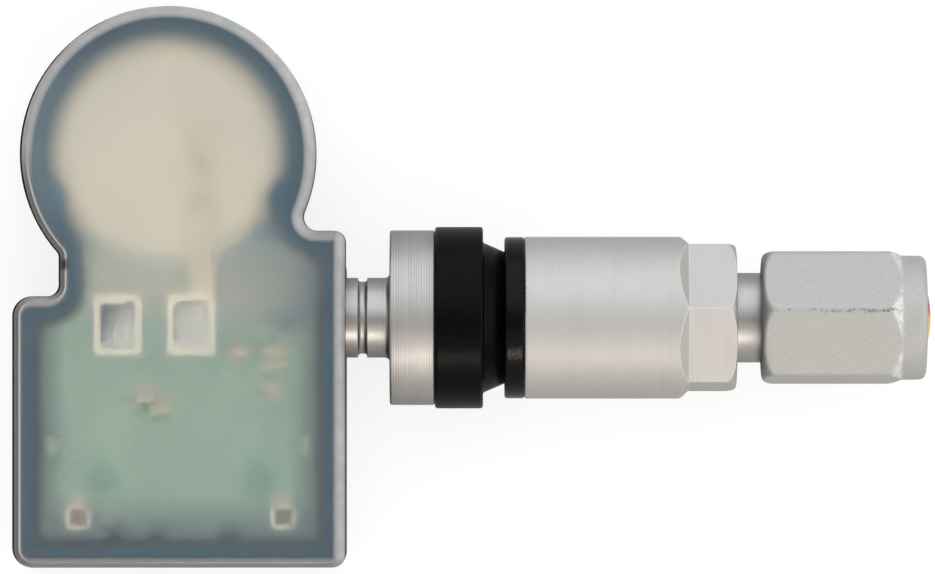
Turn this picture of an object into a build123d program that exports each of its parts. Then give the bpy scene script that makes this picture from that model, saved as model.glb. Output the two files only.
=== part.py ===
from build123d import *
import os
from math import sqrt, tan, radians

# Tyre pressure sensor on a clamp-in metal valve, in millimetres.
# X runs along the valve towards its cap, Y across the sensor towards the battery lobe, and Z up
# through the potted face. The origin is on the valve's axis, where the grommet's shoulder meets
# the inside of the wheel rim.

# Inner end of the valve, from the rim towards the sensor
grommet_dia = 15.7
grommet_length = 4.15
grommet_edge_radius = 0.25
cone_root_dia = 13.0
cone_tip_dia = 11.4
cone_length = 1.85
collar_set_back = 0.3
collar_length = 3.9
collar_edge_radius = 0.2
neck_dia = 6.9
neck_length = 3.8
neck_root_radius = 0.45
neck_groove_width = 0.8
neck_groove_depth = 0.35
neck_groove_from_sensor = 1.45
foot_depth = 1.5
air_hole_dia = 1.2
air_hole_from_collar = 0.8
air_channel_dia = 2.5

# Outer end of the valve, from the rim towards the cap
shank_dia = 9.0
tip_dia = 7.75
tip_chamfer = 0.3
washer_set_back = 0.025
washer_thickness = 1.75
washer_edge_radius = 0.25
nut_dia = 14.0
nut_length = 18.3
nut_edge_radius = 0.15
nut_crown_radius = 1.3
nut_across_flats = 12.0
nut_flat_length = 4.15
nut_ramp_angle = 50.0
nut_thread_length = 12.0
nut_relief_dia = 10.4
nut_over_shank = 1.3
nut_to_cap = 2.15
hexagon_turn = 7.0

# Cap
cap_length = 14.25
cap_across_flats = 10.9
cap_corner_radius = 0.6
cap_lead_radius = 1.5
cap_end_dia = 10.75
cap_end_length = 2.2
cap_end_radius = 0.6
cap_bevel_length = 1.0
cap_end_wall = 2.8
cap_skirt_dia = 8.5
cap_skirt_depth = 2.0
cap_seal_thickness = 0.9
dome_dia = 5.4
dome_seat_depth = 0.5
dome_rise = 0.4

# Valve core, measured inwards from the tip of the stem
core_dia = 5.1
core_head_depth = 0.5
core_head_length = 4.8
core_bridge_width = 1.6
core_bridge_height = 1.5
core_barrel_dia = 3.7
core_barrel_length = 6.8
core_floor = 0.8
core_guide_length = 1.2
core_pin_dia = 1.1
core_pin_depth = 0.3
core_collar_dia = 2.6
core_collar_thickness = 0.5
core_collar_gap = 0.2
core_cup_dia = 3.5
core_cup_length = 1.7
core_cup_seal_dia = 3.0
core_cup_seal_thickness = 0.7
core_rivet_dia = 1.7
core_rivet_length = 0.3
core_seat_length = 1.8
core_seat_gap = 0.6
core_bore_dia = 4.3
core_bore_length = 28.0
spring_chamber_dia = 2.9
spring_wire_dia = 0.32
spring_turns = 5

# Outline of the sensor, seen on its potted face
below_axis = 21.5
right_shoulder = 7.5
left_shoulder = 1.85
left_notch = 4.0
shoulder_length = 2.44
lobe_left_margin = 0.65
corner_low_left = 1.7
corner_low_right = 1.1
corner_right_shoulder = 1.0
corner_left_shoulder = 1.7
notch_radius = 1.0
lobe_left_radius = 0.7
lobe_right_radius = 1.2
smallest_corner = 0.4

# Levels of the sensor, and the tub that holds the resin
skirt_above_neck = 0.35
cover = 1.15
face_edge_radius = 0.8
rim_inset = 0.9
wall = 1.0
floor = 1.5
back_edge_radius = 0.8

# Screw that holds the valve's foot, and the pocket for its driver in the back of the tub
pocket_wall = 0.6
pocket_side_wall = 1.8
pocket_length = 17.0
ramp_run = 12.0
ramp_wall = 1.4
driver_gap = 0.4
flange = 3.5
screw_dia = 3.0
screw_length = 4.4
screw_head_dia = 5.6
screw_head_height = 2.0
screw_head_edge_radius = 0.5
screw_tail = 0.3
screw_recess_dia = 2.8
screw_recess_depth = 1.2
screw_recess_lobe_dia = 0.75

# Circuit board
board_depth = 1.4
board_thickness = 0.8
board_inset = 2.5
board_over_pocket = 0.5
board_to_cell = 1.2
board_edge_notch_radius = 0.7
board_edge_notches = (8.9, 12.4, 18.7)
board_rest_width = 2.0
board_rest_overlap = 1.0
board_rest_below_axis = 3.9
post_dia = 4.4
post_left = 8.15
post_right = 7.55
post_above_bottom = 7.95

# Battery and its tabs
cell_dia = 20.0
cell_height = 5.0
cell_above_axis = 4.1
cell_gap = 0.85
cell_cover = 1.8
cell_can_height = 4.3
cell_crimp = 1.3
cell_edge_radius = 0.5
hook_angle = 20.0
hook_width = 2.4
hook_overlap = 0.6
tab_thickness = 0.2
tab_width = 2.2
tab_bend_radius = 0.35
tab_weld_length = 5.0
window_frame_width = 4.15
window_frame_height = 5.25
window_border = 0.6
window_corner = 0.4
window_below_axis = 0.58
positive_window_left = 4.25
negative_window_right = 2.05
positive_run_drop = 0.2
tab_to_cell = 0.15
tab_to_board = 0.2
tab_slot_gap = 0.1
solder_height = 0.15

# Antenna, sensor chip, coil, crystal and small chips
antenna_section = 1.5
antenna_depth = 7.5
antenna_above_board = 0.3
antenna_left = 5.75
antenna_right = 5.3
antenna_above_bottom = 4.4
antenna_pad = 2.2
antenna_pad_height = 0.25
antenna_hole_gap = 0.1
ic_width = 6.0
ic_depth = 5.0
ic_height = 1.9
ic_from_left = 7.5
ic_below_axis = 8.0
ic_vent_dia = 1.0
ic_vent_depth = 0.5
port_dia = 1.6
port_tube_dia = 4.6
port_seal_thickness = 0.8
coil_length = 10.0
coil_width = 3.2
coil_height = 2.6
coil_flange = 1.0
coil_core_section = 1.6
coil_from_right = 8.8
coil_below_axis = 8.6
crystal_length = 3.2
crystal_width = 2.5
crystal_height = 0.8
crystal_corner = 0.3
crystal_from_left = 12.0
crystal_below_axis = 13.5
chip_length = 1.6
chip_width = 0.85
capacitor_height = 0.8
resistor_height = 0.45
chip_edge_radius = 0.08
capacitors_from_right = ((17.25, 6.9), (15.9, 7.85), (9.05, 2.95), (6.35, 2.8), (6.25, 6.05))
resistors_from_edges = 3.4
resistors_below_axis = 11.0

# Clearances
thread_clearance = 0.1
fit_clearance = 0.05
pin_clearance = 0.15

# Places along the valve
collar_dia = grommet_dia - 2 * collar_set_back
washer_dia = nut_dia - 2 * washer_set_back
sensor_right = -(grommet_length + collar_length + neck_length)
collar_x = -(grommet_length + collar_length)
foot_x = sensor_right - foot_depth
nut_x = cone_length + washer_thickness
nut_end = nut_x + nut_length
shank_end = nut_end - nut_over_shank
cap_x = nut_end + nut_to_cap
cap_end = cap_x + cap_length
cap_hex_end = cap_end - cap_end_length
cap_bore_end = cap_end - cap_end_wall
tip_x = cap_bore_end - cap_seal_thickness
core_top = tip_x - core_head_depth
core_head_low = core_top - core_head_length
core_low = core_head_low - core_barrel_length
seat_top = core_head_low - core_seat_gap
seat_low = seat_top - core_seat_length
chamber_dia = core_dia + 2 * thread_clearance
spring_low = core_low + core_floor
spring_top = core_top - core_bridge_height - core_guide_length
collar_top = spring_top - core_collar_gap
collar_low = collar_top - core_collar_thickness
cup_low = core_low - core_cup_length
core_bore_low = tip_x - core_bore_length
air_hole_x = collar_x - air_hole_from_collar

# Places on the sensor
lobe_radius = cell_dia / 2 + cell_gap + wall + rim_inset
lobe_above_axis = cell_above_axis + cell_dia / 2
shoulder_to_lobe = sqrt(
    (lobe_radius + lobe_right_radius) ** 2 - (lobe_above_axis - right_shoulder - lobe_right_radius) ** 2
)
lobe_x = sensor_right - shoulder_length - shoulder_to_lobe
sensor_left = lobe_x - lobe_radius - lobe_left_margin
sensor_bottom = -below_axis
notch_x = sensor_left + left_notch
cavity_inset = rim_inset + wall
cavity_left = sensor_left + cavity_inset
cavity_right = sensor_right - cavity_inset
board_left = sensor_left + board_inset
board_right = sensor_right - board_inset
flange_x = sensor_right - flange
pocket_radius = screw_head_dia / 2 + driver_gap
pocket_left = flange_x - pocket_length
deep_above_axis = pocket_radius + pocket_side_wall
back_z = -grommet_dia / 2
board_under = pocket_radius + pocket_wall + board_over_pocket
board_top = board_under + board_thickness
face_z = board_top + board_depth
step_z = neck_dia / 2 + skirt_above_neck
rim_z = face_z - cover
box_floor_z = back_z + floor
cell_cap_dia = cell_dia - 2 * cell_crimp
cell_top = face_z - cell_cover
cell_low = cell_top - cell_height
lobe_floor_z = cell_low - tab_thickness
lobe_back_z = lobe_floor_z - floor
hook_low = cell_low + cell_can_height + fit_clearance
hook_inner = cell_dia / 2 - hook_overlap
hook_outer = cell_dia / 2 + cell_gap + wall / 2
ic_under = board_under - ic_height
port_tube_top = ic_under - port_seal_thickness
posts = [
    (sensor_left + post_left, sensor_bottom + post_above_bottom),
    (sensor_right - post_right, sensor_bottom + post_above_bottom),
]
antenna_legs = [
    (sensor_left + antenna_left, sensor_bottom + antenna_above_bottom),
    (sensor_right - antenna_right, sensor_bottom + antenna_above_bottom),
]
ic_place = (sensor_left + ic_from_left, -ic_below_axis)
coil_place = (sensor_right - coil_from_right, -coil_below_axis)
crystal_place = (sensor_left + crystal_from_left, -crystal_below_axis)
positive_window = (lobe_x - positive_window_left, -window_below_axis)
negative_window = (lobe_x + negative_window_right, -window_below_axis)
window_top = window_frame_height / 2 - window_below_axis
window_inner_top = window_top - window_border
negative_strip_right = negative_window[0] + window_frame_width / 2
positive_strip_left = positive_window[0] - window_frame_width / 2 + window_border
positive_strip_right = positive_strip_left + tab_width
cell_edge_at_strip = lobe_above_axis - sqrt((cell_dia / 2) ** 2 - (lobe_x - positive_strip_right) ** 2)
positive_run_z = board_under - positive_run_drop
positive_drop_y = cell_edge_at_strip - tab_to_cell - tab_thickness / 2
board_above_axis = positive_drop_y - tab_thickness / 2 - tab_to_board


def rectangle_between(left, right, low, high, mode=Mode.ADD):
    """Rectangle in the sketch being drawn, given by its sides."""
    with Locations(((left + right) / 2, (low + high) / 2)):
        Rectangle(right - left, high - low, mode=mode)


def block_between(left, right, front, back, low, high, mode=Mode.ADD):
    """Block in the part being built, given by its sides."""
    with Locations(((left + right) / 2, (front + back) / 2, (low + high) / 2)):
        Box(right - left, back - front, high - low, mode=mode)


def body_outline(inset, top=right_shoulder, lobe=True):
    """Sensor outline moved inwards by inset: a box with a notched left shoulder and a round lobe."""
    left = sensor_left + inset
    right = sensor_right - inset
    low = sensor_bottom + inset
    step = left_shoulder - inset
    notch = notch_x + inset
    high = top - inset
    reach = lobe_radius - inset
    corners = [
        ((left, low), max(corner_low_left - inset, smallest_corner)),
        ((right, low), max(corner_low_right - inset, smallest_corner)),
        ((right, high), max(corner_right_shoulder - inset, smallest_corner)),
        ((left, step), max(corner_left_shoulder - inset, smallest_corner)),
    ]
    with BuildSketch() as outline:
        rectangle_between(left, right, low, step)
        rectangle_between(notch, right, low, high)
        if lobe:
            rectangle_between(notch, lobe_x, low, lobe_above_axis)
            with Locations((lobe_x, lobe_above_axis)):
                Circle(reach)
            join_y = lobe_above_axis - sqrt(reach**2 - (lobe_x - notch) ** 2)
            join_x = lobe_x + sqrt(reach**2 - (lobe_above_axis - high) ** 2)
            corners.append(((notch, step), notch_radius + inset))
            corners.append(((notch, join_y), lobe_left_radius + inset))
            corners.append(((join_x, high), lobe_right_radius + inset))
        else:
            upper_round = max(notch_radius - inset, smallest_corner)
            room = high - step - upper_round - smallest_corner
            corners.append(((notch, step), min(notch_radius + inset, room)))
            corners.append(((notch, high), upper_round))
        for point, radius in corners:
            fillet(outline.vertices().sort_by_distance(point)[0], radius)
    return outline.sketch


def screw_pocket(wall_side, wall_end, right):
    """Space for the screw and its driver, grown by wall thicknesses. Its section is arched over the
    valve's axis, and its roof slopes down to the back so that the driver can reach in."""
    radius = pocket_radius + wall_side
    left = pocket_left - wall_end
    with BuildPart() as pocket:
        with BuildSketch(Plane.YZ.offset(left)):
            Circle(radius)
            rectangle_between(-radius, radius, back_z, 0)
        extrude(amount=right - left)
        with BuildSketch(Plane.XZ):
            with BuildLine():
                Polyline((left, back_z), (left + ramp_run, radius), (left, radius), close=True)
            make_face()
        extrude(amount=radius, both=True, mode=Mode.SUBTRACT)
    return pocket.part


def turned(points, rounded=()):
    """Half section of a turned piece, as distance along the axis and radius, with rounded corners."""
    with BuildSketch() as section:
        with BuildLine():
            Polyline(*points, close=True)
        make_face()
        for point, radius in rounded:
            fillet(section.vertices().sort_by_distance(point)[0], radius)
    return section.sketch


def hexagon(across_flats, corner_radius):
    """Hexagon across the valve's axis, with one corner turned a little off the face."""
    with BuildSketch() as section:
        RegularPolygon(across_flats / 2, 6, major_radius=False, rotation=90 - hexagon_turn)
        fillet(section.vertices(), corner_radius)
    return section.sketch


def window_frame():
    """Open frame at the end of a battery tab."""
    with BuildSketch() as frame:
        RectangleRounded(window_frame_width, window_frame_height, window_corner)
        Rectangle(
            window_frame_width - 2 * window_border,
            window_frame_height - 2 * window_border,
            mode=Mode.SUBTRACT,
        )
    return frame.sketch


def bent_strip(points):
    """Side view of a tab: a strip of even thickness along rounded bends."""
    with BuildSketch() as strip:
        with BuildLine():
            FilletPolyline(*points, radius=tab_bend_radius)
        trace(line_width=tab_thickness)
    return strip.sketch


outer_outline = body_outline(0)
rim_outline = body_outline(rim_inset)
cavity_outline = body_outline(cavity_inset)
deep_outline = body_outline(0, deep_above_axis, lobe=False)
deep_cavity_outline = body_outline(cavity_inset, deep_above_axis, lobe=False)
board_outline = body_outline(board_inset, board_above_axis + board_inset, lobe=False)

# Shallow part of the tub, which reaches under the whole face
with BuildPart() as shallow_block:
    with BuildSketch(Plane.XY.offset(lobe_back_z)):
        add(outer_outline)
    extrude(amount=step_z - lobe_back_z)
    fillet(shallow_block.faces().sort_by(Axis.Z)[0].edges(), back_edge_radius)

# Moulded tub before its pocket and holes are cut
with BuildPart() as tub:
    with BuildSketch(Plane.XY.offset(back_z)):
        add(deep_outline)
    extrude(amount=step_z - back_z)
    fillet(tub.faces().sort_by(Axis.Z)[0].edges(), back_edge_radius)
    add(shallow_block.part)
    with BuildSketch(Plane.XY.offset(step_z)):
        add(rim_outline)
    extrude(amount=rim_z - step_z)
    with BuildSketch(Plane.XY.offset(lobe_floor_z)):
        add(cavity_outline)
    extrude(amount=rim_z - lobe_floor_z, mode=Mode.SUBTRACT)
    with BuildSketch(Plane.XY.offset(box_floor_z)):
        add(deep_cavity_outline)
    extrude(amount=lobe_floor_z - box_floor_z, mode=Mode.SUBTRACT)
    add(screw_pocket(pocket_wall, ramp_wall, cavity_right))
    for wall_x, edge_x in (
        (cavity_left, board_left + board_rest_overlap),
        (cavity_right, board_right - board_rest_overlap),
    ):
        block_between(
            min(wall_x, edge_x),
            max(wall_x, edge_x),
            -board_rest_below_axis - board_rest_width / 2,
            -board_rest_below_axis + board_rest_width / 2,
            box_floor_z,
            board_under,
        )
    for post in posts:
        with Locations((*post, box_floor_z)):
            Cylinder(post_dia / 2, board_under - box_floor_z, align=(Align.CENTER, Align.CENTER, Align.MIN))
    with Locations((lobe_x, lobe_above_axis, (hook_low + rim_z) / 2)):
        with PolarLocations(
            (hook_inner + hook_outer) / 2, 2, -hook_angle, 2 * hook_angle - 180, endpoint=True
        ):
            Box(hook_outer - hook_inner, hook_width, rim_z - hook_low)
    with Locations((*ic_place, box_floor_z)):
        Cylinder(
            port_tube_dia / 2, port_tube_top - box_floor_z, align=(Align.CENTER, Align.CENTER, Align.MIN)
        )

# Air channel from the back of the tub to the sensor chip
with BuildPart() as port_channel:
    with Locations((*ic_place, back_z)):
        Cylinder(
            port_dia / 2,
            ic_under + ic_vent_depth - back_z,
            align=(Align.CENTER, Align.CENTER, Align.MIN),
        )

# Finished tub: driver pocket, seat for the valve's foot, screw hole and air port
with BuildPart() as housing:
    add(tub.part)
    add(screw_pocket(0, 0, flange_x), mode=Mode.SUBTRACT)
    with BuildSketch(Plane.YZ.offset(sensor_right)):
        Circle(neck_dia / 2 + fit_clearance)
    extrude(amount=-foot_depth, mode=Mode.SUBTRACT)
    with BuildSketch(Plane.YZ.offset(flange_x)):
        Circle(screw_dia / 2 + pin_clearance)
    extrude(amount=flange, mode=Mode.SUBTRACT)
    add(port_channel.part, mode=Mode.SUBTRACT)

# Circuit board with its edge notches, antenna holes and tab slot
with BuildPart() as circuit_board:
    with BuildSketch(Plane.XY.offset(board_under)):
        add(board_outline)
        with Locations((lobe_x, lobe_above_axis)):
            Circle(cell_dia / 2 + board_to_cell, mode=Mode.SUBTRACT)
        with Locations(antenna_legs):
            Rectangle(
                antenna_section + 2 * antenna_hole_gap,
                antenna_section + 2 * antenna_hole_gap,
                mode=Mode.SUBTRACT,
            )
        for notch_from_left in board_edge_notches:
            with Locations((sensor_left + notch_from_left, sensor_bottom + board_inset)):
                Circle(board_edge_notch_radius, mode=Mode.SUBTRACT)
        rectangle_between(
            positive_strip_left - tab_slot_gap,
            positive_strip_right + tab_slot_gap,
            window_inner_top - tab_thickness - 2 * tab_bend_radius,
            window_inner_top,
            mode=Mode.SUBTRACT,
        )
    extrude(amount=board_thickness)

# Coin cell: a can, crimped over the smaller cap on its upper side
with BuildPart() as coin_cell:
    cell_axis = Axis((lobe_x, lobe_above_axis, cell_low), (0, 0, 1))
    with BuildSketch(Plane(cell_axis.position, x_dir=(1, 0, 0), z_dir=(0, -1, 0))):
        with BuildLine():
            Polyline(
                (0, 0),
                (cell_dia / 2, 0),
                (cell_dia / 2, cell_can_height),
                (cell_cap_dia / 2, cell_can_height),
                (cell_cap_dia / 2, cell_height),
                (0, cell_height),
                close=True,
            )
        make_face()
    revolve(axis=cell_axis)
    fillet(
        coin_cell.edges().filter_by(GeomType.CIRCLE).filter_by(lambda e: e.radius > cell_cap_dia / 2),
        cell_edge_radius,
    )

# Tab from the cell's upper face down to the right window
with BuildPart() as negative_tab:
    with BuildSketch(Plane.YZ.offset(negative_strip_right)):
        add(
            bent_strip(
                [
                    (lobe_above_axis + tab_weld_length / 2, cell_top + tab_thickness / 2),
                    (lobe_above_axis - cell_dia / 2, cell_top + tab_thickness / 2),
                    (lobe_above_axis - cell_dia / 2 - board_to_cell / 2, board_top + tab_thickness / 2),
                    (window_inner_top, board_top + tab_thickness / 2),
                ]
            )
        )
    extrude(amount=-tab_width)
    with BuildSketch(Plane.XY.offset(board_top)):
        with Locations(negative_window):
            add(window_frame())
    extrude(amount=tab_thickness)

# Tab from under the can, below the board and up through its slot to the left window
with BuildPart() as positive_tab:
    with BuildSketch(Plane.YZ.offset(positive_strip_left)):
        add(
            bent_strip(
                [
                    (window_top - window_border / 2, board_top + tab_thickness / 2),
                    (window_inner_top - tab_bend_radius, board_top + tab_thickness / 2),
                    (window_inner_top - tab_bend_radius, positive_run_z),
                    (positive_drop_y, positive_run_z),
                    (positive_drop_y, lobe_floor_z + tab_thickness / 2),
                    (lobe_above_axis, lobe_floor_z + tab_thickness / 2),
                ]
            )
        )
    extrude(amount=tab_width)
    with BuildSketch(Plane.XY.offset(board_top)):
        with Locations(positive_window):
            add(window_frame())
    extrude(amount=tab_thickness)

# Solder that fills the two windows
with BuildPart() as tab_solder:
    with BuildSketch(Plane.XY.offset(board_top)):
        with Locations(positive_window, negative_window):
            Rectangle(window_frame_width - 2 * window_border, window_frame_height - 2 * window_border)
    extrude(amount=solder_height)
    add(positive_tab.part, mode=Mode.SUBTRACT)

# Antenna: a square bar under the board, with both ends bent up through it
with BuildPart() as loop_antenna:
    leg_low = board_under - antenna_depth
    with BuildSketch(Plane.XY.offset(leg_low)):
        with Locations(antenna_legs):
            Rectangle(antenna_section, antenna_section)
    extrude(amount=board_top + antenna_above_board - leg_low)
    block_between(
        antenna_legs[0][0],
        antenna_legs[1][0],
        antenna_legs[0][1] - antenna_section / 2,
        antenna_legs[0][1] + antenna_section / 2,
        leg_low,
        leg_low + antenna_section,
    )
    fillet(loop_antenna.edges().filter_by(Axis.Y).group_by(Axis.Z)[0], antenna_section / 3)

# Solder round the antenna's ends
with BuildPart() as antenna_solder:
    with BuildSketch(Plane.XY.offset(board_top)):
        with Locations(antenna_legs):
            RectangleRounded(antenna_pad, antenna_pad, antenna_pad / 8)
            Rectangle(antenna_section, antenna_section, mode=Mode.SUBTRACT)
    extrude(amount=antenna_pad_height)

# Sensor chip under the board, its vent facing the back
with BuildPart() as pressure_sensor_ic:
    with Locations((*ic_place, ic_under)):
        Box(ic_width, ic_depth, ic_height, align=(Align.CENTER, Align.CENTER, Align.MIN))
        Cylinder(
            ic_vent_dia / 2,
            ic_vent_depth,
            align=(Align.CENTER, Align.CENTER, Align.MIN),
            mode=Mode.SUBTRACT,
        )

# Ring between the chip and the air port's tube
with BuildPart() as port_seal:
    with BuildSketch(Plane.XY.offset(port_tube_top)):
        with Locations(ic_place):
            Circle(port_tube_dia / 2)
            Circle(port_dia / 2, mode=Mode.SUBTRACT)
    extrude(amount=port_seal_thickness)

# Frequency crystal in its metal can
with BuildPart() as crystal:
    with BuildSketch(Plane.XY.offset(board_under)):
        with Locations(crystal_place):
            RectangleRounded(crystal_width, crystal_length, crystal_corner)
    extrude(amount=-crystal_height)

# Wake-up coil: ferrite bobbin
with BuildPart() as lf_core:
    with Locations((*coil_place, board_under - coil_height / 2)):
        Box(coil_length, coil_core_section, coil_core_section)
        with GridLocations(coil_length - coil_flange, 0, 2, 1):
            Box(coil_flange, coil_width, coil_height)

# Wake-up coil: wire between the bobbin's flanges
with BuildPart() as lf_winding:
    with Locations((*coil_place, board_under - coil_height / 2)):
        Box(coil_length - 2 * coil_flange, coil_width - coil_flange / 2, coil_height - coil_flange / 2)
        fillet(lf_winding.edges().filter_by(Axis.X), coil_flange / 2)
        Box(coil_length, coil_core_section, coil_core_section, mode=Mode.SUBTRACT)

# Small chips on the upper side of the board
with BuildPart() as chip_capacitors:
    for from_right, below in capacitors_from_right:
        with Locations((sensor_right - from_right, -below, board_top)):
            Box(chip_length, chip_width, capacitor_height, align=(Align.CENTER, Align.CENTER, Align.MIN))
    fillet(chip_capacitors.edges().filter_by(Axis.X), chip_edge_radius)

with BuildPart() as chip_resistors:
    for chip_x in (sensor_left + resistors_from_edges, sensor_right - resistors_from_edges):
        with Locations((chip_x, -resistors_below_axis, board_top)):
            Box(chip_width, chip_length, resistor_height, align=(Align.CENTER, Align.CENTER, Align.MIN))
    fillet(chip_resistors.edges().filter_by(Axis.Y), chip_edge_radius)

# Resin poured round everything in the tub and over its rim
with BuildPart() as potting_compound:
    with BuildSketch(Plane.XY.offset(step_z)):
        add(outer_outline)
    extrude(amount=face_z - step_z)
    fillet(potting_compound.faces().sort_by(Axis.Z)[-1].edges(), face_edge_radius)
    with BuildSketch(Plane.XY.offset(lobe_floor_z)):
        add(cavity_outline)
    extrude(amount=step_z - lobe_floor_z)
    with BuildSketch(Plane.XY.offset(box_floor_z)):
        add(deep_cavity_outline)
    extrude(amount=lobe_floor_z - box_floor_z)
    for held in (
        tub,
        port_channel,
        circuit_board,
        coin_cell,
        negative_tab,
        positive_tab,
        tab_solder,
        loop_antenna,
        antenna_solder,
        pressure_sensor_ic,
        port_seal,
        crystal,
        lf_core,
        lf_winding,
        chip_capacitors,
        chip_resistors,
    ):
        add(held.part, mode=Mode.SUBTRACT)

# Turned stem: foot, grooved neck, collar, threaded shank and tip, drilled from both ends
with BuildPart() as valve_stem:
    revolve(
        turned(
            [
                (foot_x, 0),
                (foot_x, neck_dia / 2),
                (collar_x, neck_dia / 2),
                (collar_x, collar_dia / 2),
                (-grommet_length, collar_dia / 2),
                (-grommet_length, shank_dia / 2),
                (shank_end, shank_dia / 2),
                (shank_end, tip_dia / 2),
                (tip_x, tip_dia / 2),
                (tip_x, 0),
            ],
            [
                ((collar_x, neck_dia / 2), neck_root_radius),
                ((collar_x, collar_dia / 2), collar_edge_radius),
                ((-grommet_length, collar_dia / 2), collar_edge_radius),
                ((tip_x, tip_dia / 2), tip_chamfer),
            ],
        ),
        axis=Axis.X,
    )
    with BuildSketch():
        with Locations((sensor_right + neck_groove_from_sensor, neck_dia / 2)):
            RectangleRounded(neck_groove_width, 2 * neck_groove_depth, neck_groove_depth / 2)
    revolve(axis=Axis.X, mode=Mode.SUBTRACT)
    revolve(
        turned(
            [
                (foot_x, 0),
                (foot_x, screw_dia / 2 + fit_clearance),
                (flange_x + screw_length + screw_tail, screw_dia / 2 + fit_clearance),
                (flange_x + screw_length + screw_tail, 0),
            ]
        ),
        axis=Axis.X,
        mode=Mode.SUBTRACT,
    )
    revolve(
        turned(
            [
                (air_hole_x - air_hole_dia, 0),
                (air_hole_x - air_hole_dia, air_channel_dia / 2),
                (core_bore_low, air_channel_dia / 2),
                (core_bore_low, core_bore_dia / 2),
                (seat_low, core_bore_dia / 2),
                (seat_top, chamber_dia / 2),
                (tip_x, chamber_dia / 2),
                (tip_x, 0),
            ]
        ),
        axis=Axis.X,
        mode=Mode.SUBTRACT,
    )
    with BuildSketch(Plane.XY):
        with Locations((air_hole_x, 0)):
            Circle(air_hole_dia / 2)
    extrude(amount=-neck_dia, mode=Mode.SUBTRACT)

# Screw through the tub's flange into the valve's foot, with a six-lobed recess
with BuildPart() as stem_screw:
    revolve(
        turned(
            [
                (flange_x - screw_head_height, 0),
                (flange_x - screw_head_height, screw_head_dia / 2),
                (flange_x, screw_head_dia / 2),
                (flange_x, screw_dia / 2),
                (flange_x + screw_length, screw_dia / 2),
                (flange_x + screw_length, 0),
            ],
            [((flange_x - screw_head_height, screw_head_dia / 2), screw_head_edge_radius)],
        ),
        axis=Axis.X,
    )
    with BuildSketch(Plane.YZ.offset(flange_x - screw_head_height)):
        Circle((screw_recess_dia - screw_recess_lobe_dia) / 2)
        with PolarLocations((screw_recess_dia - screw_recess_lobe_dia) / 2, 6):
            Circle(screw_recess_lobe_dia / 2)
    extrude(amount=screw_recess_depth, mode=Mode.SUBTRACT)

# Rubber grommet: a ring against the collar and a cone that centres it in the rim's hole
with BuildPart() as grommet:
    revolve(
        turned(
            [
                (-grommet_length, shank_dia / 2),
                (-grommet_length, grommet_dia / 2),
                (0, grommet_dia / 2),
                (0, cone_root_dia / 2),
                (cone_length, cone_tip_dia / 2),
                (cone_length, shank_dia / 2),
            ],
            [
                ((-grommet_length, grommet_dia / 2), grommet_edge_radius),
                ((0, grommet_dia / 2), grommet_edge_radius),
                ((0, cone_root_dia / 2), grommet_edge_radius),
            ],
        ),
        axis=Axis.X,
    )

# Washer between the rim and the nut
with BuildPart() as nut_washer:
    washer_bore = shank_dia / 2 + thread_clearance
    revolve(
        turned(
            [
                (cone_length, washer_bore),
                (cone_length, washer_dia / 2),
                (nut_x, washer_dia / 2),
                (nut_x, washer_bore),
            ],
            [
                ((cone_length, washer_dia / 2), washer_edge_radius),
                ((nut_x, washer_dia / 2), washer_edge_radius),
            ],
        ),
        axis=Axis.X,
    )

# Nut: a round barrel with six flats milled on its outer end, each running out on a ramp
with BuildPart() as valve_nut:
    nut_bore = shank_dia / 2 + thread_clearance
    nut_thread_low = nut_end - nut_thread_length
    revolve(
        turned(
            [
                (nut_x, nut_bore),
                (nut_x, nut_dia / 2),
                (nut_end, nut_dia / 2),
                (nut_end, nut_bore),
            ],
            [
                ((nut_x, nut_dia / 2), nut_edge_radius),
                ((nut_end, nut_dia / 2), nut_crown_radius),
            ],
        ),
        axis=Axis.X,
    )
    revolve(
        turned(
            [
                (nut_x, 0),
                (nut_x, nut_relief_dia / 2),
                (nut_thread_low - nut_relief_dia / 2 + nut_bore, nut_relief_dia / 2),
                (nut_thread_low, nut_bore),
                (nut_thread_low, 0),
            ]
        ),
        axis=Axis.X,
        mode=Mode.SUBTRACT,
    )
    flat_radius = nut_across_flats / 2
    flat_x = nut_end - nut_flat_length
    ramp_length = (nut_dia - flat_radius) / tan(radians(nut_ramp_angle))
    for corner in range(6):
        with BuildSketch(Plane.XY.rotated((60 * corner + 60 - hexagon_turn, 0, 0))):
            with BuildLine():
                Polyline(
                    (flat_x, flat_radius),
                    (nut_end, flat_radius),
                    (nut_end, nut_dia),
                    (flat_x - ramp_length, nut_dia),
                    close=True,
                )
            make_face()
        extrude(amount=nut_dia, both=True, mode=Mode.SUBTRACT)

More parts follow.
